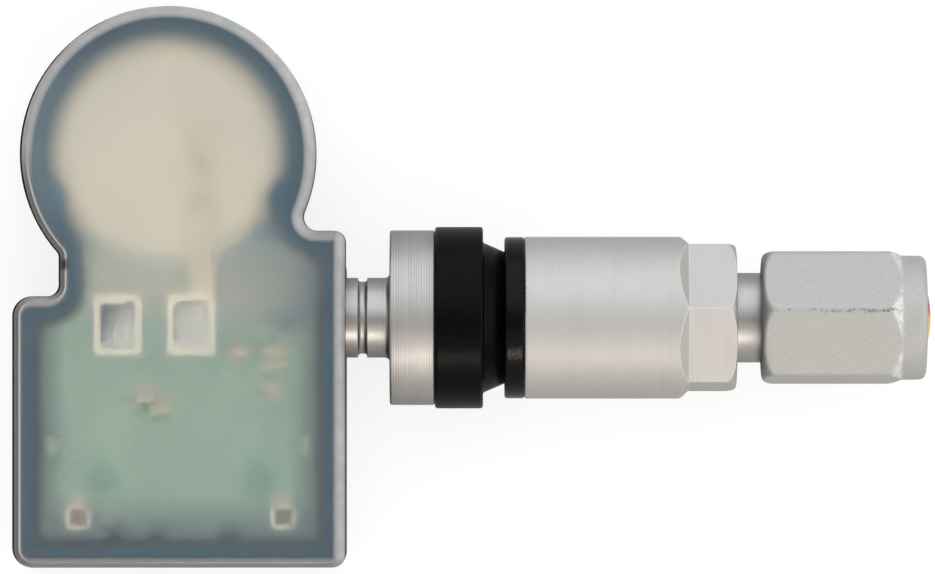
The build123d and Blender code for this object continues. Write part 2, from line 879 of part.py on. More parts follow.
# Cap: a tumbled hexagon with rounded corners, a round end and a seat for the dome
with BuildPart() as valve_cap:
    cap_reach = cap_across_flats / sqrt(3)
    with BuildSketch(Plane.YZ.offset(cap_x)):
        add(hexagon(cap_across_flats, cap_corner_radius))
    extrude(amount=cap_hex_end - cap_x)
    revolve(
        turned(
            [
                (cap_x, 0),
                (cap_x, cap_reach),
                (cap_hex_end - cap_bevel_length, cap_reach),
                (cap_hex_end, cap_end_dia / 2),
                (cap_hex_end, 0),
            ],
            [((cap_x, cap_reach), cap_lead_radius)],
        ),
        axis=Axis.X,
        mode=Mode.INTERSECT,
    )
    revolve(
        turned(
            [
                (cap_bore_end, 0),
                (cap_bore_end, cap_end_dia / 2),
                (cap_end, cap_end_dia / 2),
                (cap_end, dome_dia / 2),
                (cap_end - dome_seat_depth, dome_dia / 2),
                (cap_end - dome_seat_depth, 0),
            ],
            [((cap_end, cap_end_dia / 2), cap_end_radius)],
        ),
        axis=Axis.X,
    )
    cap_bore = tip_dia / 2 + thread_clearance
    revolve(
        turned(
            [
                (cap_x, 0),
                (cap_x, cap_skirt_dia / 2),
                (cap_x + cap_skirt_depth, cap_skirt_dia / 2),
                (cap_x + cap_skirt_depth + cap_skirt_dia / 2 - cap_bore, cap_bore),
                (cap_bore_end, cap_bore),
                (cap_bore_end, 0),
            ]
        ),
        axis=Axis.X,
        mode=Mode.SUBTRACT,
    )

# Resin dome in the end of the cap
with BuildPart() as cap_dome:
    with BuildSketch():
        with BuildLine():
            Polyline(
                (cap_end, dome_dia / 2),
                (cap_end - dome_seat_depth, dome_dia / 2),
                (cap_end - dome_seat_depth, 0),
                (cap_end + dome_rise, 0),
            )
            RadiusArc(
                (cap_end + dome_rise, 0),
                (cap_end, dome_dia / 2),
                -((dome_dia / 2) ** 2 + dome_rise**2) / (2 * dome_rise),
            )
        make_face()
    revolve(axis=Axis.X)

# Rubber disc that the cap presses on the tip of the stem
with BuildPart() as cap_seal:
    with BuildSketch(Plane.YZ.offset(tip_x)):
        Circle(tip_dia / 2)
    extrude(amount=cap_seal_thickness)

# Valve core: threaded head with a bridge for the core key, and a slim barrel with the spring inside
with BuildPart() as core_body:
    pin_guide = core_pin_dia / 2 + pin_clearance
    revolve(
        turned(
            [
                (core_low, 0),
                (core_low, core_barrel_dia / 2),
                (core_head_low, core_barrel_dia / 2),
                (core_head_low, core_dia / 2),
                (core_top, core_dia / 2),
                (core_top, 0),
            ]
        ),
        axis=Axis.X,
    )
    for side in (-1, 1):
        block_between(
            core_top - core_bridge_height,
            core_top,
            min(side * core_bridge_width / 2, side * core_dia),
            max(side * core_bridge_width / 2, side * core_dia),
            -core_dia,
            core_dia,
            mode=Mode.SUBTRACT,
        )
    revolve(
        turned(
            [
                (core_low, 0),
                (core_low, pin_guide),
                (spring_low, pin_guide),
                (spring_low, spring_chamber_dia / 2),
                (spring_top, spring_chamber_dia / 2),
                (spring_top, pin_guide),
                (core_top, pin_guide),
                (core_top, 0),
            ]
        ),
        axis=Axis.X,
        mode=Mode.SUBTRACT,
    )

# Tapered ring that seals the core on the seat in the stem
with BuildPart() as core_gasket:
    revolve(
        turned(
            [
                (seat_low, core_barrel_dia / 2),
                (seat_low, core_bore_dia / 2 - fit_clearance),
                (seat_top, core_dia / 2),
                (core_head_low, core_dia / 2),
                (core_head_low, core_barrel_dia / 2),
            ]
        ),
        axis=Axis.X,
    )

# Pin of the core, with the spring's collar near its top and a rivet under the cup
with BuildPart() as core_pin:
    revolve(
        turned(
            [
                (cup_low - core_rivet_length, 0),
                (cup_low - core_rivet_length, core_rivet_dia / 2),
                (cup_low, core_rivet_dia / 2),
                (cup_low, core_pin_dia / 2),
                (collar_low, core_pin_dia / 2),
                (collar_low, core_collar_dia / 2),
                (collar_top, core_collar_dia / 2),
                (collar_top, core_pin_dia / 2),
                (tip_x - core_pin_depth, core_pin_dia / 2),
                (tip_x - core_pin_depth, 0),
            ],
            [((tip_x - core_pin_depth, core_pin_dia / 2), core_pin_dia / 4)],
        ),
        axis=Axis.X,
    )

# Metal cup on the foot of the pin
with BuildPart() as core_cup:
    revolve(
        turned(
            [
                (cup_low, core_pin_dia / 2),
                (cup_low, core_cup_dia / 2),
                (core_low - core_cup_seal_thickness / 2, core_cup_dia / 2),
                (core_low - core_cup_seal_thickness / 2, core_cup_seal_dia / 2),
                (core_low - core_cup_seal_thickness, core_cup_seal_dia / 2),
                (core_low - core_cup_seal_thickness, core_pin_dia / 2),
            ],
            [((cup_low, core_cup_dia / 2), core_cup_dia / 8)],
        ),
        axis=Axis.X,
    )

# Soft disc in the cup, which closes on the foot of the barrel
with BuildPart() as core_cup_seal:
    with BuildSketch(Plane.YZ.offset(core_low - core_cup_seal_thickness)):
        Circle(core_cup_seal_dia / 2)
        Circle(core_pin_dia / 2, mode=Mode.SUBTRACT)
    extrude(amount=core_cup_seal_thickness)

# Spring between the barrel's floor and the pin's collar
with BuildPart() as core_spring:
    spring_height = collar_low - spring_low - spring_wire_dia
    coil_radius = (spring_chamber_dia + core_pin_dia) / 4
    with BuildLine() as coil_line:
        Helix(
            spring_height / spring_turns,
            spring_height,
            coil_radius,
            center=(spring_low + spring_wire_dia / 2, 0, 0),
            direction=(1, 0, 0),
        )
    with BuildSketch(Plane(coil_line.line @ 0, z_dir=coil_line.line % 0)):
        Circle(spring_wire_dia / 2)
    sweep(is_frenet=True)

pieces = {
    "housing": housing,
    "potting_compound": potting_compound,
    "circuit_board": circuit_board,
    "coin_cell": coin_cell,
    "negative_tab": negative_tab,
    "positive_tab": positive_tab,
    "tab_solder": tab_solder,
    "loop_antenna": loop_antenna,
    "antenna_solder": antenna_solder,
    "pressure_sensor_ic": pressure_sensor_ic,
    "port_seal": port_seal,
    "crystal": crystal,
    "lf_core": lf_core,
    "lf_winding": lf_winding,
    "chip_capacitors": chip_capacitors,
    "chip_resistors": chip_resistors,
    "valve_stem": valve_stem,
    "stem_screw": stem_screw,
    "grommet": grommet,
    "nut_washer": nut_washer,
    "valve_nut": valve_nut,
    "valve_cap": valve_cap,
    "cap_dome": cap_dome,
    "cap_seal": cap_seal,
    "core_body": core_body,
    "core_gasket": core_gasket,
    "core_pin": core_pin,
    "core_cup": core_cup,
    "core_cup_seal": core_cup_seal,
    "core_spring": core_spring,
}
os.makedirs("parts", exist_ok=True)
for name, piece in pieces.items():
    piece.part.label = name
    export_step(piece.part, f"parts/{name}.step")
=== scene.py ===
import math

import bmesh
import bpy
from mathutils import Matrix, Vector, geometry, noise


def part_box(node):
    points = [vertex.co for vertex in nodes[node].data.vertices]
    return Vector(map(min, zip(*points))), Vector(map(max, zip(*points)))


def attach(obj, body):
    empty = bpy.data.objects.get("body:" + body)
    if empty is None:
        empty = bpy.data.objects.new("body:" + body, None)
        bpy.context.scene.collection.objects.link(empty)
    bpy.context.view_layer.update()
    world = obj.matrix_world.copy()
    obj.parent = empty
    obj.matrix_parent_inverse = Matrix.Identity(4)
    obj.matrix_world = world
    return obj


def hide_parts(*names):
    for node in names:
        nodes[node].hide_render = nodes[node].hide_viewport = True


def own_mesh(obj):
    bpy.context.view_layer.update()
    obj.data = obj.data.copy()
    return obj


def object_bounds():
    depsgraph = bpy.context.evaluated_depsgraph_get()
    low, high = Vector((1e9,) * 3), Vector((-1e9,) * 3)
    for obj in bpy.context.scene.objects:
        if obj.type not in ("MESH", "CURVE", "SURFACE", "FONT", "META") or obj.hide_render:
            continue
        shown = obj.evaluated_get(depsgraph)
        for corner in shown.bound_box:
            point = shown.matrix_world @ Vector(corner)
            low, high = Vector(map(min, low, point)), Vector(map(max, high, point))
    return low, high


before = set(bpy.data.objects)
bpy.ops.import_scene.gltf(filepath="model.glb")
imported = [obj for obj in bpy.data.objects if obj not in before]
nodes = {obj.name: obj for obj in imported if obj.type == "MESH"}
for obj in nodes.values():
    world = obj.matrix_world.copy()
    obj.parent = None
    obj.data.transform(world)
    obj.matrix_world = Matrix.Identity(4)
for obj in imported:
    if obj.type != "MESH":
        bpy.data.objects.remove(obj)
cad_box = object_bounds()
MM = 0.001
SHARP = math.radians(35)

# The photograph: its size in pixels, the scale it was taken at, and where the valve's origin lies in it
PHOTO_WIDTH = 935
PHOTO_HEIGHT = 574
PIXELS_PER_MM = 11.6
ORIGIN_PIXEL = (483.0, 317.8)

# Sizes of the sensor's outline, in millimetres, as it was moulded, and how finely its arcs are stepped
RIGHT_SHOULDER = 7.5
LEFT_SHOULDER = 1.85
LEFT_NOTCH = 4.0
CORNER_LOW_LEFT = 1.7
CORNER_LOW_RIGHT = 1.1
CORNER_RIGHT_SHOULDER = 1.0
CORNER_LEFT_SHOULDER = 1.7
NOTCH_RADIUS = 1.0
LOBE_LEFT_RADIUS = 0.7
LOBE_RIGHT_RADIUS = 1.2
FEWEST_ARC_STEPS = 8
DEGREES_PER_STEP = 2.5

# Sizes of the resin, in millimetres: its rounded edge, its pale rim, narrow at the left under painted
# shade, the painted highlight line along that rim, and the cloudy ring round the cell
FACE_EDGE = 0.8
FACE_INSETS = (0.87, 0.95, 1.03, 1.12, 1.3)
RESIN_SHY = 0.22
RESIN_DEPTH = 2.7
RESIN_LAP = 0.02
RIM_NARROW = 0.86
RIM_BROAD = 1.1
RIM_FADE = 0.45
RIM_WAVER = 0.07
RIM_WAVE_LENGTH = 2.5
LOBE_LIT_SPAN = (11.0, 15.0)
HIGHLIGHT_INSET = 0.5
HIGHLIGHT_WIDTH = 0.14
GAP_CELL = 8.72
GAP_WALL = 2.2
GAP_FOOT = 1.5
GAP_LEVELS = (4.02, 4.66)

# The way in which the rim grows broader and lighter, from painted shade at the left to painted light at
# the right, how far it does so on the lobe, how much of the painted highlight line is lost there, and the
# marks that the mesh carries for the resin's material
LIT_SIDE_WAY = Vector((0.85, 0.25))
LOBE_BROADER = 0.8
LOBE_HIGHLIGHT_LOST = 0.7
RESIN_MARKS = ("rim", "rim_lit_side", "highlight_line")

# Sizes of the turned stem, in millimetres
NECK_RADIUS = 3.45
NECK_ROOT = 0.45
NECK_GROOVE_X = -10.4
NECK_GROOVE_WIDTH = 0.8
NECK_GROOVE_DEPTH = 0.35
COLLAR_X = -8.05
COLLAR_EDGE = 0.2
GROMMET_LENGTH = 4.15
SHANK_RADIUS = 4.5
SHANK_END = 20.6
SHANK_PITCH = 0.75
SHANK_THREAD_START = 1.2
TIP_RADIUS = 3.875
TIP_PITCH = 0.794
TIP_THREAD_START = 25.2
TIP_EDGE = 0.3
BORE_RADIUS = 2.65
BORE_DEPTH = 6.0
BORE_TAPER = 1.0
AIR_HOLE_X = -8.85
AIR_HOLE_RADIUS = 0.6
AIR_CHANNEL_RADIUS = 1.25
FOOT_HOLE_RADIUS = 1.55
FOOT_HOLE_DEPTH = 2.7

# The rolled threads: depth as a share of the pitch, steepness of the flanks, width of the flat crests,
# and the rows of faces in a pitch of each. Then the steps round the neck's groove and the stem's corners.
THREAD_DEPTH = 0.55
THREAD_SLOPE = 1.25
THREAD_CREST = 0.12
SHANK_ROWS = 8
TIP_ROWS = 10
GROOVE_STEPS = 8
CORNER_STEPS = 5

# Sizes of the core's spring: its wire in millimetres, its turns, and the steps of its mesh in each turn
SPRING_WIRE = 0.32
SPRING_TURNS = 5
STEPS_PER_TURN = 36

# Places that the materials mark, in millimetres, as x and y seen from above
WELDS = [(-24.1, 13.3), (-24.1, 10.1)]
DISCS = [(-32.6, -13.8), (-19.3, -14.0)]
SCALLOPS = [(-31.4, -18.7), (-27.6, -18.8), (-21.6, -18.8)]
CLEAR_FRAMES = [(-31.4, -0.6), (-25.1, -0.6)]
CLEAR_LEGS = [(-34.9, -17.15), (-17.25, -17.15)]
RIM_NICK = [(-36.1, 4.6)]
CHIP_FLUX = [(-21.05, -3.0), (-17.9, -3.3), (-18.1, -6.2), (-29.0, -6.5), (-27.6, -7.6)]
LEG_FLUX = [(-35.0, -16.1), (-17.2, -16.1)]
DARK_PATCH = [(-16.7, -0.1)]
PALE_WALL = [(-39.0, 15.5)]
CELL_MIDDLE = [(-27.15, 14.1)]

# Where a material changes, in millimetres, and how softly: a pair is where the change starts and ends
GAP_CREAM = (4.5, 8.0)
GREYER_X = (-26, -16)
LEGS_X = (-30, -22)
MASK_EDGE = (-34.0, 0.7)
MASK_FALL = 0.11
MASK_SOFT = 1.1
SIDE_SHADE = 2.6
FOOT_SHADE = 4.4
WET_RIM = (3.85, 3.9)
DEEP_FLOORS = (3.65, 3.55)
CAP_CORNER_Y = 0.65
CAP_FRONT = (0.1, 0.5)
CAP_HEXAGON = (25.5, 35.7)
CAP_SHOULDER = (36.4, 36.6)
DOME_WAVER = 0.6
DOME_REDDER = (-0.2, 0.4)

# Tumbling of the cap: the voxel in millimetres, and how much and how often its corners are softened
CAP_VOXEL = 0.12
CAP_SOFTENING = 0.5
CAP_ROUNDS = 14

# Solder in the windows: sizes in millimetres, then shares of its full height, how it rises at its sides
# and corners, and the bands of shade along its sides, as shares of half its width or length
WINDOW_WIDTH = 2.95
LUMP_SIZE = 0.9
LUMP_HEIGHT = 0.25
POOL_LOWEST = 0.1
POOL_LEVEL = 0.35
SIDE_RISE = 0.6
SIDE_CURVE = 6
CORNER_START = 0.66
CORNER_SLOPE = 5
BAND_LEFT = 0.16
BAND_TOP = 0.12
BAND_RIGHT = 0.1
BAND_FOOT = 0.07

# How bright the left and the right pool of solder are, and how strongly they are shaded
WINDOW_POOL = (0.53, 0.82)
SHADE_ACROSS = 0.6
SHADE_ALONG = 0.7
SHADE_BANDS = 0.7
SHADE_LOWER = 0.6
LUMP_SHINE = 0.4

# Softboxes: direction, colour, strength, and the angles where each is full and where it ends. After them
# come the even light round them, and the paper's glow to the camera and in shiny surfaces.
LAMPS = [
    ((-0.1, 0.8, 0.6), "F4F8FF", 1.42, 12, 62),
    ((0.05, -0.8, 0.6), "FFF5EE", 0.85, 10, 52),
    ((0.05, -0.8, 0.6), "FFF5EE", 14.0, 2, 8),
    ((-0.92, 0.05, 0.35), "FFFFFF", 0.2, 8, 46),
    ((0.92, 0.0, 0.35), "FFFFFF", 1.6, 8, 46),
]
AMBIENT = 0.31
PAPER_GLOW = 0.79
PAPER_GLEAM = 0.1


def linear(colour):
    """sRGB hex to the linear colour that a shader takes."""
    channels = [int(colour[i : i + 2], 16) / 255 for i in (0, 2, 4)]
    return tuple(c / 12.92 if c <= 0.04045 else ((c + 0.055) / 1.055) ** 2.4 for c in channels) + (1.0,)


def per_mm(size):
    """Texture scale whose pattern repeats about every size millimetres."""
    return 1 / (size * MM)


def over(value, span):
    """What a range takes to rise while a value crosses a span in millimetres."""
    return {"Value": value, "From Min": span[0] * MM, "From Max": span[1] * MM}


def put(tree, kind, sockets=None, **settings):
    """Adds a node with its settings, and gives each socket a value, or a link from a node or an output."""
    node = tree.nodes.new("ShaderNode" + kind)
    for name, value in settings.items():
        setattr(node, name, value)
    for name, value in (sockets or {}).items():
        named = [s for s in node.inputs if s.enabled and s.name == name]
        socket = named[0] if named else node.inputs[name]
        if isinstance(value, bpy.types.Node):
            value = next(s for s in value.outputs if s.enabled)
        if isinstance(value, bpy.types.NodeSocket):
            tree.links.new(value, socket)
        else:
            socket.default_value = value
    return node


def new_finish(name):
    """A material with an empty tree, and the place on the object that its patterns follow."""
    material = bpy.data.materials.new(name)
    material.use_nodes = True
    tree = material.node_tree
    tree.nodes.clear()
    return material, tree, put(tree, "TexCoord").outputs["Object"]


def mottle(tree, place, size, detail, dark, pale, start=0.3, end=0.7):
    """Soft patches about size millimetres across, and the two tones that they mix."""
    patches = put(tree, "TexNoise", {"Vector": place, "Scale": per_mm(size), "Detail": detail})
    spread = put(tree, "MapRange", {"Value": patches, "From Min": start, "From Max": end})
    tones = {"Factor": spread, "A": linear(dark), "B": linear(pale)}
    return patches, put(tree, "Mix", tones, data_type="RGBA")


def spots(tree, place, centres, core, edge, squeeze=(1, 1, 0)):
    """Soft round spots seen from above: 1 within core millimetres of a centre and 0 beyond edge."""
    nearest = edge * MM
    for x, y in centres:
        offset = put(tree, "VectorMath", {0: place, 1: (x * MM, y * MM, 0)}, operation="SUBTRACT")
        flat = put(tree, "VectorMath", {0: offset, 1: squeeze}, operation="MULTIPLY")
        away = put(tree, "VectorMath", {0: flat}, operation="LENGTH")
        nearest = put(tree, "Math", {0: nearest, 1: away}, operation="MINIMUM")
    fade = over(nearest, (core, edge)) | {"To Min": 1, "To Max": 0}
    return put(tree, "MapRange", fade, interpolation_type="SMOOTHSTEP")


def corner_wear(tree, reach):
    """How sharply the surface turns within reach millimetres, from 0 on a flat to 1 on a corner, and
    the rounded normal."""
    rounded = put(tree, "Bevel", {"Radius": reach * MM}, samples=6)
    facing = put(tree, "NewGeometry").outputs["Normal"]
    turn = put(tree, "VectorMath", {0: rounded, 1: facing}, operation="DOT_PRODUCT")
    worn = {"Value": turn, "From Min": 0.88, "From Max": 0.995, "To Min": 1, "To Max": 0}
    return put(tree, "MapRange", worn), rounded


def cast_resin():
    # Polyurethane potting resin, poured and cured. It is milky, so what lies in it shows softly under a
    # bluish veil. Its rounded rim is pale; it carries painted light at the right, where it is nearly
    # white, and painted shade at the left and bottom, where it is darker and clearer so that the black tub
    # shows through, beside a painted highlight line.
    material, tree, place = new_finish("cast_polyurethane_resin")
    marks = [put(tree, "Attribute", attribute_name=name) for name in RESIN_MARKS]
    rim, rim_lit_side, highlight_line = (mark.outputs["Fac"] for mark in marks)
    face = mottle(tree, place, 7.0, 2.0, "EFEFEA", "F6F3EA")[1]
    pale_lit_rim = mottle(tree, place, 1.3, 5.0, "B4B5B3", "C8C7C4", 0.35, 0.75)[1]
    # The rim's tone: painted shade in dark grey-brown at the left and bottom, painted light in pale grey
    # at the right
    band = put(tree, "Mix", {"Factor": rim_lit_side, "A": linear("98938B"), "B": pale_lit_rim}, data_type="RGBA")
    skin = put(tree, "Mix", {"Factor": rim, "A": face, "B": band}, data_type="RGBA")
    # A painted highlight line along the rim's left side
    with_highlight_line = put(tree, "Mix", {"Factor": highlight_line, "A": skin, "B": linear("D6D4D0")}, data_type="RGBA")
    # Darkens the rim in a narrow band across it by the neck
    band_across_rim = spots(tree, place, RIM_NICK, 0.2, 0.7, (0.2, 1, 0))
    nick = put(tree, "Math", {0: band_across_rim, 1: rim}, operation="MULTIPLY")
    colour = put(tree, "Mix", {"Factor": nick, "A": with_highlight_line, "B": linear("3A3835")}, data_type="RGBA")
    # How clear the resin is: on its face, on its rim, clearer where the rim's painted shade lies, on its
    # painted highlight line and under specks of dust
    clearer_on_shade_side = put(tree, "MapRange", {"Value": rim_lit_side, "To Min": 0.7, "To Max": 0.25})
    through = put(tree, "Mix", {"Factor": rim, "A": 0.95, "B": clearer_on_shade_side})
    specks = put(tree, "TexNoise", {"Vector": place, "Scale": per_mm(0.45), "Detail": 1.0})
    dust = put(tree, "MapRange", {"Value": specks, "From Min": 0.74, "From Max": 0.8, "To Max": 0.15})
    dusted = put(tree, "Math", {0: through, 1: dust}, operation="SUBTRACT")
    clear = put(tree, "Mix", {"Factor": highlight_line, "A": dusted, "B": 0.1})
    # The resin lies thin over the tab frames and the antenna's legs, so they show sharper
    frames = spots(tree, place, CLEAR_FRAMES, 2.0, 3.8)
    legs = spots(tree, place, CLEAR_LEGS, 0.6, 2.0)
    thin = put(tree, "Math", {0: frames, 1: legs}, operation="MAXIMUM")
    blur = put(tree, "MapRange", {"Value": thin, "To Min": 0.97, "To Max": 0.6})
    # Ripple from curing, and dust, drawn about three times as coarse as they are so that they show
    swell = put(tree, "TexNoise", {"Vector": place, "Scale": per_mm(1.6), "Detail": 4.0})
    ripple = put(tree, "Bump", {"Height": swell, "Distance": 0.012 * MM})
    grain = put(tree, "TexNoise", {"Vector": place, "Scale": per_mm(0.25), "Detail": 2.0})
    dusty = put(tree, "Bump", {"Height": grain, "Distance": 0.005 * MM, "Normal": ripple})
    skin_sockets = {"Base Color": colour, "Transmission Weight": clear, "Roughness": blur, "Normal": dusty}
    veil = {"IOR": 1.55, "Specular Tint": linear("A0CFFF")}
    gloss = {"Coat Weight": 0.6, "Coat Roughness": 0.14}
    shader = put(tree, "BsdfPrincipled", skin_sockets | veil | gloss)
    put(tree, "OutputMaterial", {"Surface": shader})
    return material


def clouded_resin():
    # The same resin in bulk round the cell, too deep and milky to see through, drawn opaque and painted
    # with the light that it scatters into gaps that would lie in shadow: cream on the cell's shoulder,
    # slate in the gap beyond, and grey towards the board, more so at the right
    material, tree, place = new_finish("clouded_resin_painted_light")
    # Painted light: pale grey where the gap towards the board would lie in shadow
    left = mottle(tree, place, 3.0, 2.0, "B0B9B7", "BAC1BD")[1]
    right = mottle(tree, place, 3.0, 2.0, "94A0A2", "9FA9AA")[1]
    spot = put(tree, "SeparateXYZ", {"Vector": place}).outputs
    greyer = put(tree, "MapRange", over(spot["X"], GREYER_X))
    low = put(tree, "Mix", {"Factor": greyer, "A": left, "B": right}, data_type="RGBA")
    shoulder = mottle(tree, place, 3.0, 2.0, "CBC5B6", "D3CDBE")[1]
    on_cell = spots(tree, place, CELL_MIDDLE, 9.0, 10.45)
    high = put(tree, "Mix", {"Factor": on_cell, "A": linear("5A7586"), "B": shoulder}, data_type="RGBA")
    upper = put(tree, "MapRange", over(spot["Y"], GAP_CREAM))
    colour = put(tree, "Mix", {"Factor": upper, "A": low, "B": high}, data_type="RGBA")
    shader = put(tree, "BsdfPrincipled", {"Base Color": colour, "Roughness": 0.8, "IOR": 1.55})
    put(tree, "OutputMaterial", {"Surface": shader})
    return material


def moulded_nylon():
    # Glass-filled nylon, moulded in a spark-eroded tool: a fine matt grain, paler where it was knocked,
    # slate blue on the upper rim, where milky resin wets it, and painted light on the floors deep under
    # the resin, pale slate for the light that the milky resin scatters into the shaded gaps
    material, tree, place = new_finish("moulded_black_nylon")
    grain, base = mottle(tree, place, 0.3, 4.0, "131415", "2B2C2D", 0.35, 1.3)
    knocks = put(tree, "TexNoise", {"Vector": place, "Scale": per_mm(1.1), "Detail": 5.0})
    knocked = put(tree, "MapRange", {"Value": knocks, "From Min": 0.62, "From Max": 0.9})
    worn = put(tree, "Mix", {"Factor": knocked, "A": base, "B": linear("2B2C2D")}, data_type="RGBA")
    height = put(tree, "SeparateXYZ", {"Vector": place}).outputs["Z"]
    facing = put(tree, "NewGeometry").outputs["True Normal"]
    upward = put(tree, "SeparateXYZ", {"Vector": facing}).outputs["Z"]
    rim = put(tree, "MapRange", over(height, WET_RIM))
    deep = put(tree, "MapRange", over(height, DEEP_FLOORS))
    flat = put(tree, "MapRange", {"Value": upward, "From Min": 0.4, "From Max": 0.6})
    # Painted light: the deep, upward-facing floors turn pale slate
    floors_painted_light = put(tree, "Math", {0: deep, 1: flat}, operation="MULTIPLY")
    milky = spots(tree, place, PALE_WALL, 2.0, 10.0)
    blues = {"Factor": milky, "A": linear("2A5874"), "B": linear("5F7F93")}
    slate = put(tree, "Mix", blues, data_type="RGBA")
    wet = put(tree, "Mix", {"Factor": rim, "A": worn, "B": slate}, data_type="RGBA")
    skin = put(tree, "Mix", {"Factor": floors_painted_light, "A": wet, "B": linear("93A0A2")}, data_type="RGBA")
    matt = put(tree, "MapRange", {"Value": grain, "To Min": 0.3, "To Max": 0.45})
    raised = put(tree, "Bump", {"Height": grain, "Distance": 0.015 * MM})
    skin_sockets = {"Base Color": skin, "Roughness": matt, "Normal": raised}
    shader = put(tree, "BsdfPrincipled", skin_sockets | {"IOR": 1.53, "Specular IOR Level": 0.11})
    put(tree, "OutputMaterial", {"Surface": shader})
    return material


def moulded_acetal():
    # Black acetal, moulded: glossy, with a grain that breaks its highlight into sparks and pale nicks
    # along its corners
    material, tree, place = new_finish("moulded_black_acetal")
    grain, base = mottle(tree, place, 0.2, 3.0, "020202", "0C0C0C", 0.35, 0.9)
    corner, rounded = corner_wear(tree, 0.15)
    knocks = put(tree, "TexNoise", {"Vector": place, "Scale": per_mm(0.5), "Detail": 5.0})
    knocked = put(tree, "MapRange", {"Value": knocks, "From Min": 0.56, "From Max": 0.66})
    nicked = put(tree, "Math", {0: knocked, 1: corner}, operation="MULTIPLY")
    skin = put(tree, "Mix", {"Factor": nicked, "A": base, "B": linear("8E8D88")}, data_type="RGBA")
    raised = put(tree, "Bump", {"Height": grain, "Distance": 0.018 * MM, "Normal": rounded})
    skin_sockets = {"Base Color": skin, "Normal": raised, "Roughness": 0.17}
    shader = put(tree, "BsdfPrincipled", skin_sockets | {"IOR": 1.48, "Specular IOR Level": 0.12})
    put(tree, "OutputMaterial", {"Surface": shader})
    return material


def moulded_rubber(name, colour, bloom):
    # Nitrile or silicone rubber, press-moulded: a faint grey bloom and a soft sheen
    material, tree, place = new_finish(name)
    dust, skin = mottle(tree, place, 0.5, 6.0, colour, bloom, 0.45, 0.95)
    sheen = put(tree, "MapRange", {"Value": dust, "To Min": 0.26, "To Max": 0.38})
    pores = put(tree, "TexNoise", {"Vector": place, "Scale": per_mm(0.16), "Detail": 3.0})
    raised = put(tree, "Bump", {"Height": pores, "Distance": 0.006 * MM})
    skin_sockets = {"Base Color": skin, "Roughness": sheen, "Normal": raised}
    shader = put(tree, "BsdfPrincipled", skin_sockets | {"IOR": 1.5, "Specular IOR Level": 0.07})
    put(tree, "OutputMaterial", {"Surface": shader})
    return material


def turned_aluminium(name, dark, pale, feed, depth, rough, grit):
    # Aluminium bar, turned on a lathe: rings of tool feed round the axis, drawn about twice as coarse
    # as they are so that they show, a fine grit, and thin bright lines on the corners, partly rubbed wear
    # and partly painted highlight
    material, tree, place = new_finish(name)
    axis = put(tree, "Mapping", {"Vector": place, "Scale": (1, 0, 0)})
    # A wave's period is pi / 10 over its scale
    feed_lines = {"Vector": axis, "Scale": math.pi / 10 * per_mm(feed), "Distortion": 0.6, "Detail": 1.0}
    waves = put(tree, "TexWave", feed_lines).outputs["Fac"]
    drawn = put(tree, "Mapping", {"Vector": place, "Scale": (1, 0.02, 0.02)})
    tear_spacing = 1.7 * feed
    tears = put(tree, "TexNoise", {"Vector": drawn, "Scale": per_mm(tear_spacing), "Detail": 3.0})
    rings = put(tree, "Mix", {"Factor": 0.55, "A": waves, "B": tears})
    ringed = put(tree, "MapRange", {"Value": rings, "From Min": 0.25, "From Max": 0.75})
    tone = put(tree, "Mix", {"Factor": ringed, "A": linear(dark), "B": linear(pale)}, data_type="RGBA")
    cloud = put(tree, "TexNoise", {"Vector": place, "Scale": per_mm(3.0), "Detail": 2.0})
    clouded = put(tree, "MapRange", {"Value": cloud, "From Min": 0.35, "From Max": 0.9})
    metal = put(tree, "Mix", {"Factor": clouded, "A": tone, "B": linear(pale)}, data_type="RGBA")
    corner, rounded = corner_wear(tree, 0.12)
    # Corners paler: partly rubbed wear, partly painted highlight
    worn_and_highlit = put(tree, "Mix", {"Factor": corner, "A": metal, "B": linear("F2F1EE")}, data_type="RGBA")
    grains = put(tree, "TexNoise", {"Vector": place, "Scale": per_mm(0.22), "Detail": 4.0})
    varies = 0.06
    matt = put(tree, "MapRange", {"Value": grains, "To Min": rough - varies, "To Max": rough + varies})
    feed_marks = put(tree, "Bump", {"Height": rings, "Distance": depth * MM, "Normal": rounded})
    gritty = put(tree, "Bump", {"Height": grains, "Distance": grit * MM, "Normal": feed_marks})
    sockets = {"Base Color": worn_and_highlit, "Roughness": matt, "Normal": gritty, "Metallic": 1.0}
    shader = put(tree, "BsdfPrincipled", sockets)
    put(tree, "OutputMaterial", {"Surface": shader})
    return material


